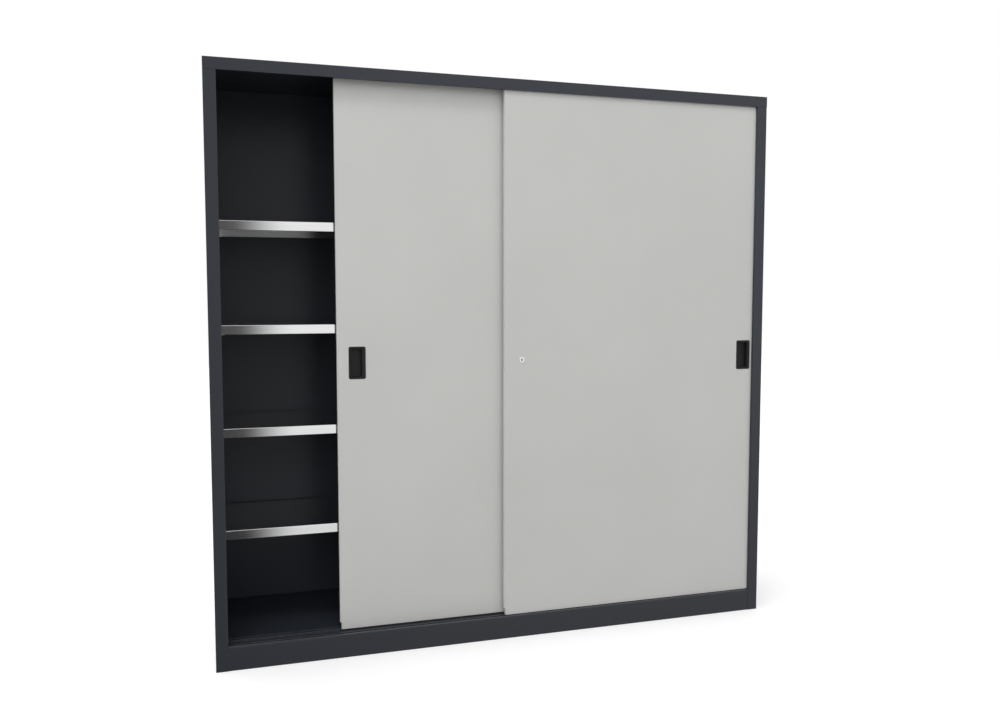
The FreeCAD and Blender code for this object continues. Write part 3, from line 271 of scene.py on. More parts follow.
class Finish(Nodes):
    """A material with one Principled shader, and what most finishes share."""

    def __init__(self, name, **constants):
        self.material = bpy.data.materials.new(name)
        self.material.use_nodes = True
        super().__init__(self.material.node_tree)
        self.shader = self.add("ShaderNodeBsdfPrincipled", constants)
        self.add("ShaderNodeOutputMaterial", {"Surface": self.shader.outputs[0]})
        self.place = self.add("ShaderNodeTexCoord").outputs["Object"]
        self.x, self.y, self.z = self.add("ShaderNodeSeparateXYZ", {0: self.place}).outputs

    def set(self, name, source):
        self.tree.links.new(source, self.shader.inputs[name])

    def edges(self, radius):
        """Rounded normal, and a mask that is 1 along the edges."""
        rounded = self.add("ShaderNodeBevel", {"Radius": radius}, samples=4).outputs[0]
        flat = self.add("ShaderNodeNewGeometry").outputs["True Normal"]
        match = self.add("ShaderNodeVectorMath", {0: rounded, 1: flat},
                         operation="DOT_PRODUCT").outputs["Value"]
        return rounded, self.ramp(match, low=0.90, high=0.995, start=1.0, end=0.0)

    def bump(self, height, strength, distance, normal=None):
        inputs = {"Strength": strength, "Distance": distance, "Height": height}
        if normal is not None:
            inputs["Normal"] = normal
        return self.add("ShaderNodeBump", inputs).outputs[0]

    def line(self, axis, level, half_width):
        """Mask that is 1 on a thin line at a level of an axis."""
        off = self.math("ABSOLUTE", self.math("SUBTRACT", axis, level))
        return self.ramp(off, low=0.6 * half_width, high=1.6 * half_width, start=1.0, end=0.0)


# ---------------------------------------------------------------- finishes
BODY_SHEEN = 0.42
# Black towards which the outer faces of the body darken low down: painted shade
PAINTED_SHADE_BLACK = (0.0, 0.0, 0.0, 1.0)
# Pale blue towards which the inner faces are lifted a little: painted light inside the body
INNER_PAINTED_LIGHT = (0.22, 0.24, 0.30, 1.0)
# Light steel of the worn track, which also paints highlights on the ribs and light under the doors
BARE_AND_LIT_STEEL = (0.22, 0.23, 0.25, 1.0)
JOINT_SHADE = (0.004, 0.004, 0.005, 1.0)
# Grey of the eye round the key slot: painted shade of the plug's recess
PLUG_SHADE_GREY = (0.27, 0.27, 0.28, 1.0)
WELD_PITCH = 120 * MM


def powder_coat(name, colour, roughness, sheen, details=None):
    """Baked powder coat with fine orange peel, faint clouds and rubbed edges."""
    finish = Finish(name, **{"Specular IOR Level": sheen})
    clouds = finish.noise(finish.place, scale=2.3, detail=3.0)
    speckle = finish.noise(finish.place, scale=420.0, detail=2.0)
    scuffs = finish.noise(finish.place, scale=38.0, detail=4.0)
    height = finish.noise(finish.place, scale=650.0, detail=1.0)
    rounded, edge = finish.edges(radius=1.3 * MM)
    shade = finish.mix(clouds, rgba(colour, 0.925), rgba(colour, 1.075))
    shade = finish.mix(finish.ramp(speckle, 0.35, 0.65, end=0.5), shade, rgba(colour, 1.06))
    rubbed = finish.product(edge, finish.ramp(scuffs, 0.48, 0.62, start=0.15, end=0.55))
    shade = finish.mix(rubbed, shade, rgba([0.25 * channel + 0.10 for channel in colour]))
    if details:
        shade, height = details(finish, shade, height)
    finish.set("Base Color", shade)
    finish.set("Roughness", finish.ramp(clouds, 0.0, 1.0, roughness - 0.05, roughness + 0.05, smooth=False))
    finish.set("Normal", finish.bump(height, strength=0.22, distance=0.12 * MM, normal=rounded))
    return finish.material


def inner_faces(finish, width):
    """Mask of the faces inside the body, behind the doors."""
    return finish.product(finish.below(width, SKIN - 3 * MM),
                          finish.above(finish.y, FRONT + 55 * MM), finish.below(finish.y, REAR - 4 * MM),
                          finish.above(finish.z, PLINTH - 30 * MM), finish.below(finish.z, TOP - 3 * MM))


def track_wear_and_light(finish, width):
    """Mask of bare metal wear on the guide ribs, and faintly on the bed between them; the lighter ribs also
    paint their highlights, and the lighter bed paints light into the shade under the doors.
    """
    bed = finish.product(finish.line(finish.z, BED, half_width=0.8 * MM), 0.07)
    ribs = finish.product(finish.line(finish.z, PLINTH, half_width=0.6 * MM), 0.26)
    return finish.product(finish.math("ADD", ribs, bed), finish.below(finish.y, FRONT + 72 * MM),
                          finish.below(width, OPENING - 0.8 * MM))


def joint_lines(finish, width):
    """Mask of the joints of the top cover and of the front plinth."""
    on_stile = finish.above(width, OPENING - 0.4 * MM)
    on_back = finish.above(finish.y, REAR - 1.5 * MM)
    cover = finish.product(finish.line(finish.z, RAIL_SEAM, half_width=0.7 * MM),
                           finish.math("MAXIMUM", on_stile, on_back))
    plinth = finish.product(finish.line(width, OPENING, half_width=0.6 * MM),
                            finish.below(finish.z, PLINTH + 0.5 * MM),
                            finish.below(finish.y, FRONT + 1.5 * MM))
    return finish.math("MAXIMUM", cover, plinth)


def weld_marks(finish, width):
    """Mask of the spot welds of the uprights and posts in the side skins."""
    rows = [finish.math("ABSOLUTE", finish.math("SUBTRACT", finish.y, (low[1] + high[1]) / 2))
            for low, high in (UPRIGHT, POST)]
    aside = finish.math("MINIMUM", *rows)
    in_pitch = finish.math("MODULO", finish.z, WELD_PITCH)
    along = finish.math("ABSOLUTE", finish.math("SUBTRACT", in_pitch, WELD_PITCH / 2))
    away = finish.math("SQRT", finish.math("ADD", finish.product(aside, aside), finish.product(along, along)))
    return finish.product(finish.ramp(away, 1.8 * MM, 3.4 * MM, start=1.0, end=0.0),
                          finish.above(width, SKIN - 0.4 * MM))


def body_details(finish, shade, height):
    """Duller coat with painted light inside, painted shade low down, wear with painted light on the track,
    joint lines and weld marks.
    """
    width = finish.math("ABSOLUTE", finish.x)
    inside = inner_faces(finish, width)
    outside = finish.math("SUBTRACT", 1.0, inside)
    inner_sheen = finish.ramp(finish.z, PLINTH, PLINTH + 400 * MM, start=0.14, end=0.31)
    change = finish.math("SUBTRACT", inner_sheen, BODY_SHEEN)
    finish.set("Specular IOR Level", finish.math("MULTIPLY_ADD", inside, change, BODY_SHEEN))
    # Painted light: the inner faces are mixed a little towards a pale blue, to lift the shade inside the body
    shade = finish.mix(finish.product(inside, 0.009), shade, INNER_PAINTED_LIGHT)
    # Painted shade: the outer faces darken towards the floor, where less light falls on them
    low_shade = finish.product(finish.ramp(finish.z, 0.0, 1.3, start=0.24, end=0.0, smooth=False), outside)
    shade = finish.mix(low_shade, shade, PAINTED_SHADE_BLACK)
    # Wear with painted light: rib tops and bed lightened towards bare steel, lifting their highlights and the
    # shade under the doors
    shade = finish.mix(track_wear_and_light(finish, width), shade, BARE_AND_LIT_STEEL)
    joints = joint_lines(finish, width)
    shade = finish.mix(finish.product(joints, 0.8), shade, JOINT_SHADE)
    sunk = finish.math("MULTIPLY_ADD", joints, 2.0, finish.product(weld_marks(finish, width), 1.6))
    return shade, finish.math("SUBTRACT", height, sunk)


def zinc_sheet(name, colour, roughness, spangle, spangle_scale):
    """Zinc-coated sheet with rolling streaks and spangle, rougher and darkened by painted shade on the inner
    side of the rear folds, with a painted highlight along the edges.
    """
    finish = Finish(name, Metallic=1.0)
    crystals = finish.add("ShaderNodeTexVoronoi", {"Vector": finish.place, "Scale": spangle_scale},
                          feature="F1").outputs["Color"]
    flake = finish.product(finish.add("ShaderNodeSeparateColor", {0: crystals}).outputs[0], spangle)
    streaks = finish.noise(finish.place, scale=1.0, detail=2.0, stretch=(3.0, 260.0, 260.0))
    fine = finish.noise(finish.place, scale=900.0, detail=1.0)
    rounded, edge = finish.edges(radius=1.0 * MM)
    normal = finish.add("ShaderNodeNewGeometry").outputs["True Normal"]
    facing = finish.add("ShaderNodeSeparateXYZ", {0: normal}).outputs
    inner = finish.product(finish.below(facing[1], -0.5), finish.above(finish.y, 0.0))
    # Painted shade on the inner side of the rear folds, kept off their edges
    fold_shade = finish.product(inner, finish.ramp(edge, 0.0, 1.0, start=0.55, end=0.0, smooth=False))
    shade = finish.mix(flake, rgba(colour), rgba(colour, 0.78))
    shade = finish.mix(fold_shade, shade, rgba(colour, 0.2))
    shade = finish.mix(finish.ramp(streaks, 0.35, 0.65, end=0.30), shade, rgba(colour, 0.90))
    # Painted highlight along the edges
    shade = finish.mix(finish.product(edge, 0.35), shade, rgba(colour, 1.06))
    tone = finish.math("ADD", finish.ramp(streaks, 0.3, 0.7, start=0.85, end=1.20), flake)
    finish.set("Base Color", shade)
    finish.set("Roughness", finish.math("MULTIPLY_ADD", inner, 0.20, finish.product(tone, roughness)))
    finish.set("Normal", finish.bump(fine, strength=0.3 * spangle, distance=0.04 * MM, normal=rounded))
    return finish.material


def oval(finish, x, z, half_width, half_height):
    """Soft mask of an upright oval that faces along Y."""
    across = finish.math("MULTIPLY_ADD", finish.x, 1 / half_width, -x / half_width)
    along = finish.math("MULTIPLY_ADD", finish.z, 1 / half_height, -z / half_height)
    away = finish.math("ADD", finish.product(across, across), finish.product(along, along))
    return finish.ramp(away, 0.7, 1.2, start=1.0, end=0.0)


def plated_metal(name, colour, roughness, eye=None):
    """Plated small metal with faint clouds and tool marks, and a darker, rougher eye of painted shade round
    the key slot.
    """
    finish = Finish(name, Metallic=1.0)
    clouds = finish.noise(finish.place, scale=70.0, detail=3.0)
    marks = finish.noise(finish.place, scale=1.0, detail=2.0, stretch=(1400.0, 220.0, 220.0))
    rounded, edge = finish.edges(radius=0.4 * MM)
    shade = finish.mix(finish.ramp(clouds, 0.3, 0.7), rgba(colour, 0.90), rgba(colour, 1.05))
    shade = finish.mix(finish.product(edge, 0.4), shade, rgba(colour, 1.2))
    rough = finish.ramp(clouds, 0.3, 0.7, start=roughness - 0.03, end=roughness + 0.05)
    if eye:
        # Painted shade: the eye round the key slot is darker and rougher
        wear_and_shade = oval(finish, *eye)
        shade = finish.mix(wear_and_shade, shade, PLUG_SHADE_GREY)
        rough = finish.math("MULTIPLY_ADD", wear_and_shade, 0.30, rough)
    finish.set("Base Color", shade)
    finish.set("Roughness", rough)
    finish.set("Normal", finish.bump(marks, strength=0.05, distance=0.05 * MM, normal=rounded))
    return finish.material


def moulded(name, colour, roughness, grain_scale, grain, subsurface=0.0):
    """Moulded plastic or rubber with an eroded grain."""
    finish = Finish(name, **{"Specular IOR Level": 0.35, "Subsurface Weight": subsurface})
    cells = finish.add("ShaderNodeTexVoronoi", {"Vector": finish.place, "Scale": grain_scale},
                       feature="SMOOTH_F1").outputs["Distance"]
    clouds = finish.noise(finish.place, scale=55.0, detail=3.0)
    rounded, edge = finish.edges(radius=0.5 * MM)
    shade = finish.mix(finish.ramp(clouds, 0.3, 0.7), rgba(colour, 0.86), rgba(colour, 1.14))
    wear_and_shade = rgba([1.5 * channel + 0.004 for channel in colour])
    shade = finish.mix(finish.product(edge, 0.35), shade, wear_and_shade)
    finish.set("Base Color", shade)
    finish.set("Roughness", finish.ramp(clouds, 0.3, 0.7, start=roughness - 0.04, end=roughness + 0.05))
    finish.set("Normal", finish.bump(cells, strength=grain, distance=0.12 * MM, normal=rounded))
    return finish.material


FINISHES = {}


def nodes_of(slot):
    """CAD nodes whose material slot has this name."""
    return [part["node"] for part in frame["record"]["subparts"] if part["material_slot"] == slot]


def coat(slot, material):
    """Give a finish to every CAD node of a material slot."""
    FINISHES[slot] = material
    for name in nodes_of(slot):
        piece = NODES[name]
        if not piece.material_slots:
            piece.data.materials.append(material)
        for place in piece.material_slots:
            place.material = material


# ---------------------------------------------------------------- meshes
def piece_from(mesh, name, body, slot, replaced=()):
    """Show a mesh as a piece that rides on a body."""
    mesh.name = name
    piece = bpy.data.objects.new(name, mesh)
    bpy.context.scene.collection.objects.link(piece)
    if not mesh.materials:
        mesh.materials.append(FINISHES[slot])
    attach(piece, body)
    if replaced:
        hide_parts(*replaced)
    return piece


CREASE = math.radians(32)


def solid_from_rings(rings, joined=False):
    """Closed mesh through rings of points; the last ring joins the first, or flat faces close both ends."""
    form = bmesh.new()
    loops = [[form.verts.new(point) for point in ring] for ring in rings]
    following = loops[1:] + loops[:1] if joined else loops[1:]
    count = len(rings[0])
    for near, far in zip(loops, following):
        for i in range(count):
            j = (i + 1) % count
            form.faces.new((near[i], near[j], far[j], far[i]))
    if not joined:
        form.faces.new(reversed(loops[0]))
        form.faces.new(loops[-1])
    bmesh.ops.recalc_face_normals(form, faces=form.faces)
    for face in form.faces:
        face.smooth = True
    for edge in form.edges:
        edge.smooth = edge.calc_face_angle(0.0) < CREASE
    mesh = bpy.data.meshes.new("form")
    form.to_mesh(mesh)
    form.free()
    return mesh


def quarter_turn(steps, first=0):
    """Angles of a quarter turn in equal steps."""
    return [math.radians(90 * step / steps) for step in range(first, steps + 1)]


def rounded_rectangle(middle, width, height, corner, level, steps=8):
    """Points of a rounded rectangle that faces along Y."""
    points = []
    for quarter, (side, up) in enumerate(((1, 1), (-1, 1), (-1, -1), (1, -1))):
        cx = middle[0] + side * (width / 2 - corner)
        cz = middle[1] + up * (height / 2 - corner)
        for step in range(steps + 1):
            turn = math.radians(90 * (quarter + step / steps))
            points.append((cx + corner * math.cos(turn), level, cz + corner * math.sin(turn)))
    return points


# ---------------------------------------------------------------- operators
def settings(name):
    return getattr(bpy.context.scene, name)


class CABINET_OT_paint_body(Operator):
    """Give the body its graphite powder coat, with joint lines and weld marks"""
    bl_idname = "cabinet.paint_body"
    bl_label = "Paint Body"

    def execute(self, context):
        colours = settings("cabinet_finish")
        coat("graphite_steel", powder_coat("graphite_powder_coat", colours.body_paint, roughness=0.335,
                                           sheen=BODY_SHEEN, details=body_details))
        return {"FINISHED"}


class CABINET_OT_paint_doors(Operator):
    """Give the doors their light grey powder coat"""
    bl_idname = "cabinet.paint_doors"
    bl_label = "Paint Doors"

    def execute(self, context):
        colours = settings("cabinet_finish")
        coat("light_grey_steel", powder_coat("light_grey_powder_coat", colours.door_paint, roughness=0.55,
                                             sheen=0.35))
        return {"FINISHED"}


class CABINET_OT_finish_sheet(Operator):
    """Give the shelves and the tracks their zinc coats"""
    bl_idname = "cabinet.finish_sheet"
    bl_label = "Finish Zinc Sheet"

    def execute(self, context):
        colours = settings("cabinet_finish")
        coat("galvanised_steel", zinc_sheet("galvanised_sheet", colours.galvanised, roughness=0.34,
                                            spangle=0.6, spangle_scale=110.0))
        coat("shelf_zinc", zinc_sheet("bright_zinc_sheet", colours.zinc, roughness=0.055,
                                      spangle=0.05, spangle_scale=160.0))
        return {"FINISHED"}


class CABINET_OT_finish_fittings(Operator):
    """Give the plated, chromed, moulded and rubber pieces their finishes"""
    bl_idname = "cabinet.finish_fittings"
    bl_label = "Finish Fittings"

    def execute(self, context):
        colours = settings("cabinet_finish")
        lock = settings("cabinet_lock")
        low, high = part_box("lock_plug")
        eye = ((low[0] + high[0]) / 2, (low[2] + high[2]) / 2, lock.eye_width / 2, lock.eye_height / 2)
        coat("zinc_steel", plated_metal("zinc_plating", colours.plating, roughness=0.32))
        coat("chrome", plated_metal("polished_chrome", colours.chrome, roughness=0.10, eye=eye))
        coat("black_plastic", moulded("grained_black_plastic", colours.black_plastic, roughness=0.50,
                                      grain_scale=1500.0, grain=0.25))
        coat("white_nylon", moulded("white_nylon", colours.nylon, roughness=0.40, grain_scale=700.0,
                                    grain=0.05, subsurface=0.1))
        coat("black_rubber", moulded("black_rubber", colours.rubber, roughness=0.75, grain_scale=1100.0,
                                     grain=0.2))
        return {"FINISHED"}


def handle_rings(middle, face, size):
    """Rings of a recessed handle, from the floor of its cup round its face to the back of the cup."""
    cup = (middle[0] + size.cup_offset, middle[1])
    front = face - size.plate
    brim = front - size.bead
    crest = size.bead_width - size.bead_outer
    ledge = front + size.ledge_depth
    ledge_break = 0.3 * MM
    floor = face + size.cup_depth
    floor_edge = size.ledge_width + size.cup_draft + size.cup_fillet
    back = floor + size.wall
    back_chamfer = 2 * MM
    rim_steps = 4
    rings = []

    def cup_ring(grow, level, corner):
        rings.append(rounded_rectangle(cup, size.cup_width + 2 * grow, size.cup_height + 2 * grow,
                                       corner, level))

    def face_ring(shrink, level):
        rings.append(rounded_rectangle(middle, size.face_width - 2 * shrink, size.face_height - 2 * shrink,
                                       size.face_corner, level))

    cup_ring(-floor_edge - 4 * MM, floor, corner=1.2 * MM)
    for turn in quarter_turn(5):
        cup_ring(size.cup_fillet * math.sin(turn) - floor_edge,
                 floor - size.cup_fillet * (1 - math.cos(turn)), corner=2.0 * MM)
    cup_ring(-size.ledge_width, ledge + ledge_break, corner=2.2 * MM)
    cup_ring(ledge_break - size.ledge_width, ledge, corner=2.4 * MM)
    cup_ring(-0.1 * MM, ledge, corner=size.cup_corner - 0.1 * MM)
    for step, turn in enumerate(quarter_turn(rim_steps)):
        cup_ring(size.bead_inner * (1 - math.cos(turn)), brim + size.bead_inner * (1 - math.sin(turn)),
                 corner=size.cup_corner + size.bead_inner * step / rim_steps)
    cup_ring(crest, brim, corner=4.2 * MM)
    for turn in quarter_turn(3, first=1):
        cup_ring(crest + size.bead_outer * math.sin(turn), front - size.bead * math.cos(turn),
                 corner=4.6 * MM)
    for turn in quarter_turn(4):
        face_ring(size.face_round * (1 - math.sin(turn)), front + size.face_round * (1 - math.cos(turn)))
    face_ring(0, face)
    cup_ring(size.wall, face, corner=3.6 * MM)
    cup_ring(size.wall, back - back_chamfer, corner=3.6 * MM)
    cup_ring(size.wall - back_chamfer, back, corner=size.cup_corner)
    return rings


class CABINET_OT_build_handles(Operator):
    """Build the moulded recessed handles in place of their plain solids"""
    bl_idname = "cabinet.build_handles"
    bl_label = "Build Handles"

    def execute(self, context):
        size = settings("cabinet_handle")
        for side in ("left", "right"):
            low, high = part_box(f"{side}_handle")
            middle = ((low[0] + high[0]) / 2, (low[2] + high[2]) / 2)
            face = low[1] + size.plate + size.bead
            mesh = solid_from_rings(handle_rings(middle, face, size))
            piece_from(mesh, f"{side}_moulded_handle", f"{side}_door", "black_plastic", [f"{side}_handle"])
        return {"FINISHED"}


# Mouth of the lock's bore: millimetres outside the bore, and behind the front of the head
BORE_FLARE = ((0.0, 0.90), (0.10, 0.35), (0.35, 0.08), (0.80, 0.0))


def lock_profile(size, head, length):
    """Radius and depth of each corner of the lock housing, from the bore round the head to the barrel."""
    bore, barrel, front = size.bore / 2, size.barrel / 2, size.head_face / 2
    rise, pitch = size.head_rise, size.thread_pitch
    profile = [(bore + outwards * MM, depth * MM) for outwards, depth in BORE_FLARE]
    profile.append((front, 0.0))
    for turn in quarter_turn(6, first=1):
        profile.append((front + (head - front) * math.sin(turn), size.head_round * (1 - math.cos(turn))))
    profile += [(head, rise), (barrel, rise)]
    thread = rise + size.thread_start
    turns = int((length - rise - size.thread_room) / pitch)
    for i in range(turns):
        start = thread + i * pitch
        profile += [(barrel, start), (barrel - size.thread_depth, start + pitch / 2)]
    profile += [(barrel, thread + turns * pitch), (barrel - size.taper, length), (bore, length)]
    return profile


def turned(middle, profile, segments):
    """Rings of a turned form about a line along Y; the profile holds pairs of radius and place."""
    rings = []
    for radius, place in profile:
        rings.append([(middle[0] + radius * math.cos(math.tau * i / segments), middle[1] + place,
                       middle[2] + radius * math.sin(math.tau * i / segments)) for i in range(segments)])
    return rings


class CABINET_OT_build_lock(Operator):
    """Build the domed head and threaded barrel of the lock in place of the plain solid"""
    bl_idname = "cabinet.build_lock"
    bl_label = "Build Lock"

    def execute(self, context):
        low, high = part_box("lock_housing")
        middle = ((low[0] + high[0]) / 2, low[1], (low[2] + high[2]) / 2)
        profile = lock_profile(settings("cabinet_lock"), head=(high[0] - low[0]) / 2, length=high[1] - low[1])
        mesh = solid_from_rings(turned(middle, profile, segments=72), joined=True)
        piece_from(mesh, "lock_head_and_barrel", "right_door", "chrome", ["lock_housing"])
        return {"FINISHED"}


# ---------------------------------------------------------------- fasteners by Geometry Nodes
def scatter_tree(name, sizes, material, build_head):
    """Tree that sets a head on each point, along the point's facing, with a random turn."""
    tree = bpy.data.node_groups.new(name, "GeometryNodeTree")
    interface = tree.interface
    interface.new_socket(name="Geometry", in_out="INPUT", socket_type="NodeSocketGeometry")
    sockets = {}
    for label, value in sizes.items():
        socket = interface.new_socket(name=label, in_out="INPUT", socket_type="NodeSocketFloat")
        socket.subtype = "DISTANCE"
        socket.default_value = value
        sockets[label] = socket.identifier
    seed = interface.new_socket(name="Seed", in_out="INPUT", socket_type="NodeSocketInt")
    sockets["Seed"] = seed.identifier
    interface.new_socket(name="Geometry", in_out="OUTPUT", socket_type="NodeSocketGeometry")
    n = Nodes(tree)
    group = n.add("NodeGroupInput").outputs
    head = build_head(n, group)
    facing = n.add("GeometryNodeInputNamedAttribute", {"Name": "facing"}, data_type="FLOAT_VECTOR").outputs[0]
    aligned = n.add("FunctionNodeAlignRotationToVector", {"Vector": facing}, axis="Z").outputs[0]
    turn = n.add("FunctionNodeRandomValue", {"Seed": group["Seed"]}, data_type="FLOAT")
    turn.inputs[3].default_value = math.tau
    about = n.add("FunctionNodeAxisAngleToRotation", {"Axis": (0, 0, 1), "Angle": turn.outputs[1]}).outputs[0]
    rotation = n.add("FunctionNodeRotateRotation", {0: aligned, 1: about}, rotation_space="LOCAL").outputs[0]
    spread = n.add("GeometryNodeInstanceOnPoints", {"Points": group["Geometry"], "Instance": head,
                                                    "Rotation": rotation}).outputs[0]
    real = n.add("GeometryNodeRealizeInstances", {0: spread}).outputs[0]
    coated = n.add("GeometryNodeSetMaterial", {"Geometry": real, "Material": material}).outputs[0]
    n.add("NodeGroupOutput", {0: coated})
    return tree, sockets


def step_up(n, mesh, top, rise, scale):
    """Raise the top face by a length and scale it."""
    raised = n.add("GeometryNodeExtrudeMesh", {"Mesh": mesh, "Selection": top, "Offset Scale": rise,
                                               "Individual": False}, mode="FACES").outputs
    scaled = n.add("GeometryNodeScaleElements", {0: raised[0], 1: raised[1], 2: scale}, domain="FACE")
    return scaled.outputs[0], raised[1]


def disc(n, sides, radius, depth):
    """Flat cylinder that stands on its origin, and its top face."""
    base = n.add("GeometryNodeMeshCylinder", {"Vertices": sides, "Radius": radius, "Depth": depth},
                 fill_type="NGON")
    half = n.math("MULTIPLY", depth, 0.5)
    lift = n.add("ShaderNodeCombineXYZ", {2: half}).outputs[0]
    moved = n.add("GeometryNodeTransform", {"Geometry": base.outputs[0], "Translation": lift}).outputs[0]
    return moved, base.outputs[1]


# Dome of a rivet: share of the head height by which the top rises, and scale of the top
RIVET_DOME = ((0.30, 0.88), (0.24, 0.82), (0.16, 0.74), (0.0, 0.55), (-0.35, 0.94))


def rivet_head(n, group):
    """Domed blind rivet with the hole of its pin."""
    radius = n.math("MULTIPLY", group["Head diameter"], 0.5)
    height = group["Head height"]
    mesh, top = disc(n, 18, radius, n.math("MULTIPLY", height, 0.30))
    for rise, scale in RIVET_DOME:
        mesh, top = step_up(n, mesh, top, n.math("MULTIPLY", height, rise), scale)
    return mesh


def screw_head(n, group):
    """Hexagon head on a round flange."""
    height = group["Head height"]
    flange = n.math("MULTIPLY", group["Washer diameter"], 0.5)
    washer = disc(n, 24, flange, n.math("MULTIPLY", height, 0.22))[0]
    radius = n.math("MULTIPLY", group["Across flats"], 1 / math.sqrt(3))
    hexagon, top = disc(n, 6, radius, n.math("MULTIPLY", height, 0.9))
    hexagon = step_up(n, hexagon, top, n.math("MULTIPLY", height, 0.10), scale=0.86)[0]
    return join(n, washer, hexagon)


def join(n, *parts):
    node = n.add("GeometryNodeJoinGeometry")
    for part in parts:
        n.tree.links.new(part, node.inputs[0])
    return node.outputs[0]


def scatter(name, body, slot, points, facing, heads, values):
    """Piece with a head on each point, for one body; heads are a tree and the identifiers of its inputs."""
    tree, ids = heads
    carrier_mesh = bpy.data.meshes.new(name + "_points")
    carrier_mesh.from_pydata(points, [], [])
    attribute = carrier_mesh.attributes.new("facing", "FLOAT_VECTOR", "POINT")
    for item in attribute.data:
        item.vector = facing
    carrier = bpy.data.objects.new(name + "_points", carrier_mesh)
    bpy.context.scene.collection.objects.link(carrier)
    modifier = carrier.modifiers.new("heads", "NODES")
    modifier.node_group = tree
    for label, value in values.items():
        modifier[ids[label]] = value
    graph = bpy.context.evaluated_depsgraph_get()
    mesh = bpy.data.meshes.new_from_object(carrier.evaluated_get(graph), depsgraph=graph)
    carrier.modifiers.remove(modifier)
    bpy.data.objects.remove(carrier)
    bpy.data.meshes.remove(carrier_mesh)
    if len(mesh.polygons) == 0:
        raise RuntimeError(f"{name} came out empty")
    return piece_from(mesh, name, body, slot)


class CABINET_OT_build_back_rivets(Operator):
    """Set blind rivets through the back panels into the corner posts"""
    bl_idname = "cabinet.build_back_rivets"
    bl_label = "Build Back Rivets"

    def execute(self, context):
        size = settings("cabinet_fasteners")
        sizes = {"Head diameter": size.rivet_diameter, "Head height": size.rivet_height}
        rivets = scatter_tree("blind_rivets", sizes, FINISHES["graphite_steel"], rivet_head)
        sheet = 1 * MM
        face = POST[1][1] + sheet
        column = (POST[0][0] + UPRIGHT[0][0]) / 2
        foot, head = (corner[2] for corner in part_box("left_back_panel"))
        count = int((head - foot - size.rivet_margin) / size.rivet_pitch)
        start = (foot + head - count * size.rivet_pitch) / 2
        points = [(sign * column, face, start + i * size.rivet_pitch)
                  for sign in (-1, 1) for i in range(count + 1)]
        scatter("back_panel_rivets", "cabinet", "graphite_steel", points, (0, 1, 0), rivets,
                {**sizes, "Seed": size.seed})
        return {"FINISHED"}


class CABINET_OT_build_hanger_screws(Operator):
    """Set two flanged screws in the foot of each door hanger"""
    bl_idname = "cabinet.build_hanger_screws"
    bl_label = "Build Hanger Screws"

    def execute(self, context):
        size = settings("cabinet_fasteners")
        sizes = {"Across flats": size.screw_flats, "Head height": size.screw_height,
                 "Washer diameter": size.washer_diameter}
        screws = scatter_tree("flanged_screws", sizes, FINISHES["zinc_steel"], screw_head)
        for door in ("left_door", "right_door"):
            points = []
            for end in ("left", "right"):
                low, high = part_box(f"{door}_{end}_hanger")
                middle = (low[0] + high[0]) / 2
                points += [(middle + sign * size.screw_spacing / 2, low[1] + size.screw_set_in,
                            low[2] + size.foot_thickness) for sign in (-1, 1)]
            scatter(f"{door}_hanger_screws", door, "zinc_steel", points, (0, 0, 1), screws,
                    {**sizes, "Seed": size.seed})
        return {"FINISHED"}


# ---------------------------------------------------------------- stage
def turn_to(n, heading, first, last, start=0.0, end=1.0):
    """Level that goes from start to end between two headings, in degrees."""
    return n.ramp(heading, math.radians(first), math.radians(last), start, end)


def upright_light(n, heading, headings, level):
    """Light between headings in degrees: where it starts, is full, begins to fade and ends."""
    starts, full, fades, ends = headings
    return n.product(turn_to(n, heading, starts, full),
                     turn_to(n, heading, fades, ends, start=level, end=0.0))


def soft_light(n, heading, z, stage):
    """Light that surfaces scatter: a bright sky, dim on the right but for two upright lights."""
    rise = n.ramp(z, low=-0.20, high=0.25, start=stage.ground, end=stage.sky)
    fall = n.ramp(z, low=0.58, high=0.70, start=1.0, end=0.35)
    around = n.math("ADD", turn_to(n, heading, -4, 22, start=1.0, end=stage.aside),
                    turn_to(n, heading, 70, 100, start=0.0, end=0.6))
    strip = upright_light(n, heading, (0.5, 4, 11, 17), stage.strip)
    beside = upright_light(n, heading, (20, 28, 44, 56), stage.beside)
    upright = n.product(n.math("ADD", strip, beside), n.ramp(z, low=0.25, high=0.45, start=1.0, end=0.0))
    return n.product(rise, fall, n.math("ADD", around, upright))


def mirrored_light(n, heading, z):
    """Light that reflections show: bright on the right, on the left and overhead, dim in between."""
    leaning = n.math("MULTIPLY_ADD", z, 0.022, heading)
    right = turn_to(n, leaning, 0.75, 4.2)
    left = n.math("MAXIMUM", turn_to(n, heading, -95, -70, start=1.0, end=0.0),
                  turn_to(n, heading, -28, -8, start=0.55, end=0.0))
    overhead = n.ramp(z, low=0.12, high=0.62)
    bright = n.math("MAXIMUM", n.math("MAXIMUM", right, left), overhead)
    dim_level = n.ramp(z, low=-0.34, high=0.02, start=0.030, end=0.078)
    bright_level = n.ramp(z, low=-0.45, high=-0.05, start=0.62, end=0.88)
    return n.mix_levels(bright, dim_level, bright_level)


def light_studio(stage):
    """White to the camera, a soft sky to lit surfaces, and a studio with a dim side to reflections."""
    world = bpy.data.worlds.new("studio")
    bpy.context.scene.world = world
    world.use_nodes = True
    n = Nodes(world.node_tree)
    rays = n.add("ShaderNodeLightPath").outputs
    x, y, z = n.add("ShaderNodeSeparateXYZ", {0: n.add("ShaderNodeTexCoord").outputs["Generated"]}).outputs
    heading = n.math("ARCTAN2", x, n.math("MULTIPLY", y, -1.0))
    soft = soft_light(n, heading, z, stage)
    mirrored = mirrored_light(n, heading, z)
    level = n.mix_levels(rays["Is Glossy Ray"], soft, mirrored)
    seen = n.math("MAXIMUM", rays["Is Camera Ray"], rays["Is Transmission Ray"])
    strength = n.mix_levels(seen, level, 1.0)
    light = n.add("ShaderNodeBackground", {"Color": (1, 1, 1, 1), "Strength": strength}).outputs[0]
    n.add("ShaderNodeOutputWorld", {0: light})


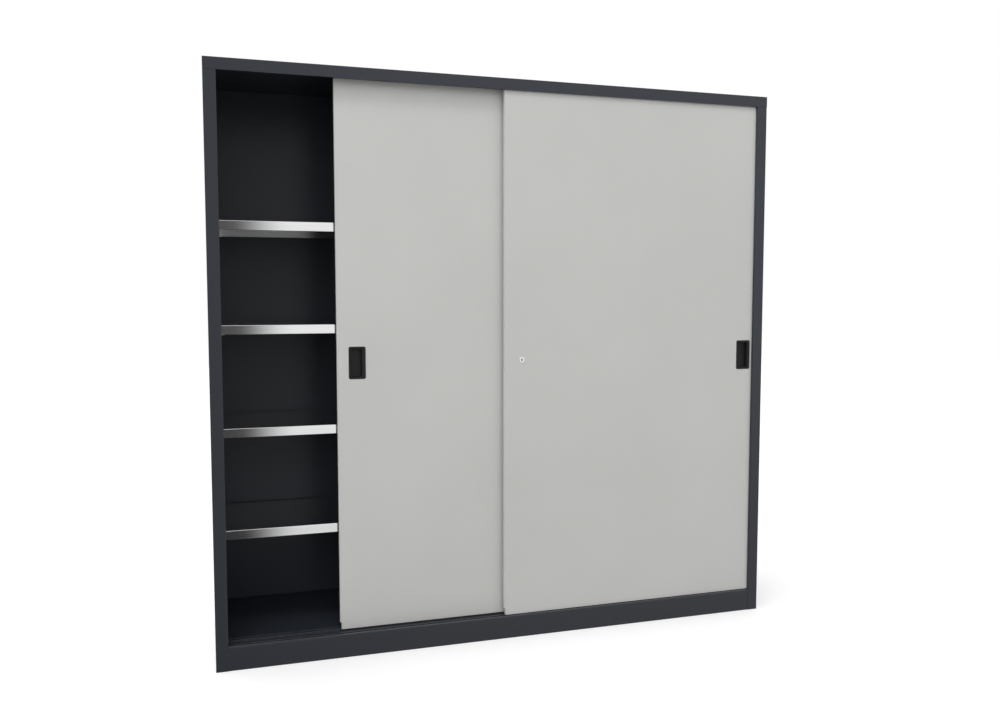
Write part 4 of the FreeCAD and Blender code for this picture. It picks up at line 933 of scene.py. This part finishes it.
def lay_floor(stage):
    """Pale floor that keeps the soft shadow of the cabinet."""
    half = stage.floor_size / 2
    corners = [(-half, -half, 0), (half, -half, 0), (half, half, 0), (-half, half, 0)]
    mesh = bpy.data.meshes.new("floor")
    mesh.from_pydata(corners, [], [(0, 1, 2, 3)])
    floor = bpy.data.objects.new("floor", mesh)
    bpy.context.scene.collection.objects.link(floor)
    material = bpy.data.materials.new("pale_floor")
    material.use_nodes = True
    n = Nodes(material.node_tree)
    seen = n.add("ShaderNodeLightPath").outputs["Is Camera Ray"]
    shade = n.mix(seen, rgba([stage.floor_tone] * 3), rgba([stage.floor_seen] * 3))
    matt = n.add("ShaderNodeBsdfDiffuse", {"Color": shade}).outputs[0]
    glow = n.add("ShaderNodeEmission", {"Strength": n.product(seen, stage.floor_glow)}).outputs[0]
    n.add("ShaderNodeOutputMaterial", {0: n.add("ShaderNodeAddShader", {0: matt, 1: glow}).outputs[0]})
    mesh.materials.append(material)
    floor.visible_glossy = False


def hang_key_lamp(stage):
    """Long soft lamp over the front."""
    lamp = bpy.data.lights.new("key_softbox", "AREA")
    lamp.shape = "RECTANGLE"
    lamp.size = stage.key_length
    lamp.size_y = stage.key_width
    lamp.energy = stage.key
    softbox = bpy.data.objects.new("key_softbox", lamp)
    softbox.location = stage.key_place
    aim = Vector(stage.key_aim) - Vector(stage.key_place)
    softbox.rotation_euler = aim.to_track_quat("-Z", "Y").to_euler()
    softbox.visible_glossy = False
    softbox.visible_camera = False
    bpy.context.scene.collection.objects.link(softbox)


def place_camera(stage):
    """Camera at its place, turned by its heading and dip."""
    camera_data = bpy.data.cameras.new("camera")
    camera_data.lens = stage.lens
    camera_data.sensor_width = 36.0
    camera_data.sensor_fit = "HORIZONTAL"
    camera_data.clip_start = 0.05
    camera = bpy.data.objects.new("camera", camera_data)
    level = math.cos(stage.camera_dip)
    view = Vector((math.sin(stage.camera_heading) * level, math.cos(stage.camera_heading) * level,
                   -math.sin(stage.camera_dip)))
    camera.location = stage.camera_place
    camera.rotation_euler = view.to_track_quat("-Z", "Y").to_euler()
    bpy.context.scene.collection.objects.link(camera)
    bpy.context.scene.camera = camera


class CABINET_OT_stage(Operator):
    """Set up the floor, the light and the camera"""
    bl_idname = "cabinet.stage"
    bl_label = "Set Up Stage"

    def execute(self, context):
        stage = settings("cabinet_stage")
        context.scene.view_settings.view_transform = "Standard"
        light_studio(stage)
        lay_floor(stage)
        hang_key_lamp(stage)
        place_camera(stage)
        return {"FINISHED"}


OPERATORS = (
    CABINET_OT_paint_body,
    CABINET_OT_paint_doors,
    CABINET_OT_finish_sheet,
    CABINET_OT_finish_fittings,
    CABINET_OT_build_handles,
    CABINET_OT_build_lock,
    CABINET_OT_build_back_rivets,
    CABINET_OT_build_hanger_screws,
    CABINET_OT_stage,
)


class CABINET_PT_build(Panel):
    """Operators and settings of the cabinet"""
    bl_idname = "CABINET_PT_build"
    bl_label = "Sliding Door Cabinet"
    bl_space_type = "VIEW_3D"
    bl_region_type = "UI"
    bl_category = "Cabinet"

    def draw(self, context):
        for operator in OPERATORS:
            self.layout.operator(operator.bl_idname)
        for name, group in SETTINGS.items():
            box = self.layout.box()
            box.label(text=group.__doc__)
            for setting in group.__annotations__:
                box.prop(getattr(context.scene, name), setting)


def register():
    for name, group in SETTINGS.items():
        bpy.utils.register_class(group)
        setattr(bpy.types.Scene, name, PointerProperty(type=group))
    for item in (*OPERATORS, CABINET_PT_build):
        bpy.utils.register_class(item)


def unregister():
    for item in reversed((*OPERATORS, CABINET_PT_build)):
        bpy.utils.unregister_class(item)
    for name, group in SETTINGS.items():
        delattr(bpy.types.Scene, name)
        bpy.utils.unregister_class(group)


def main():
    register()
    for operator in OPERATORS:
        group, call = operator.bl_idname.split(".")
        if getattr(getattr(bpy.ops, group), call)() != {"FINISHED"}:
            raise RuntimeError(f"{operator.bl_idname} didn't finish")


if __name__ == "__main__":
    main()
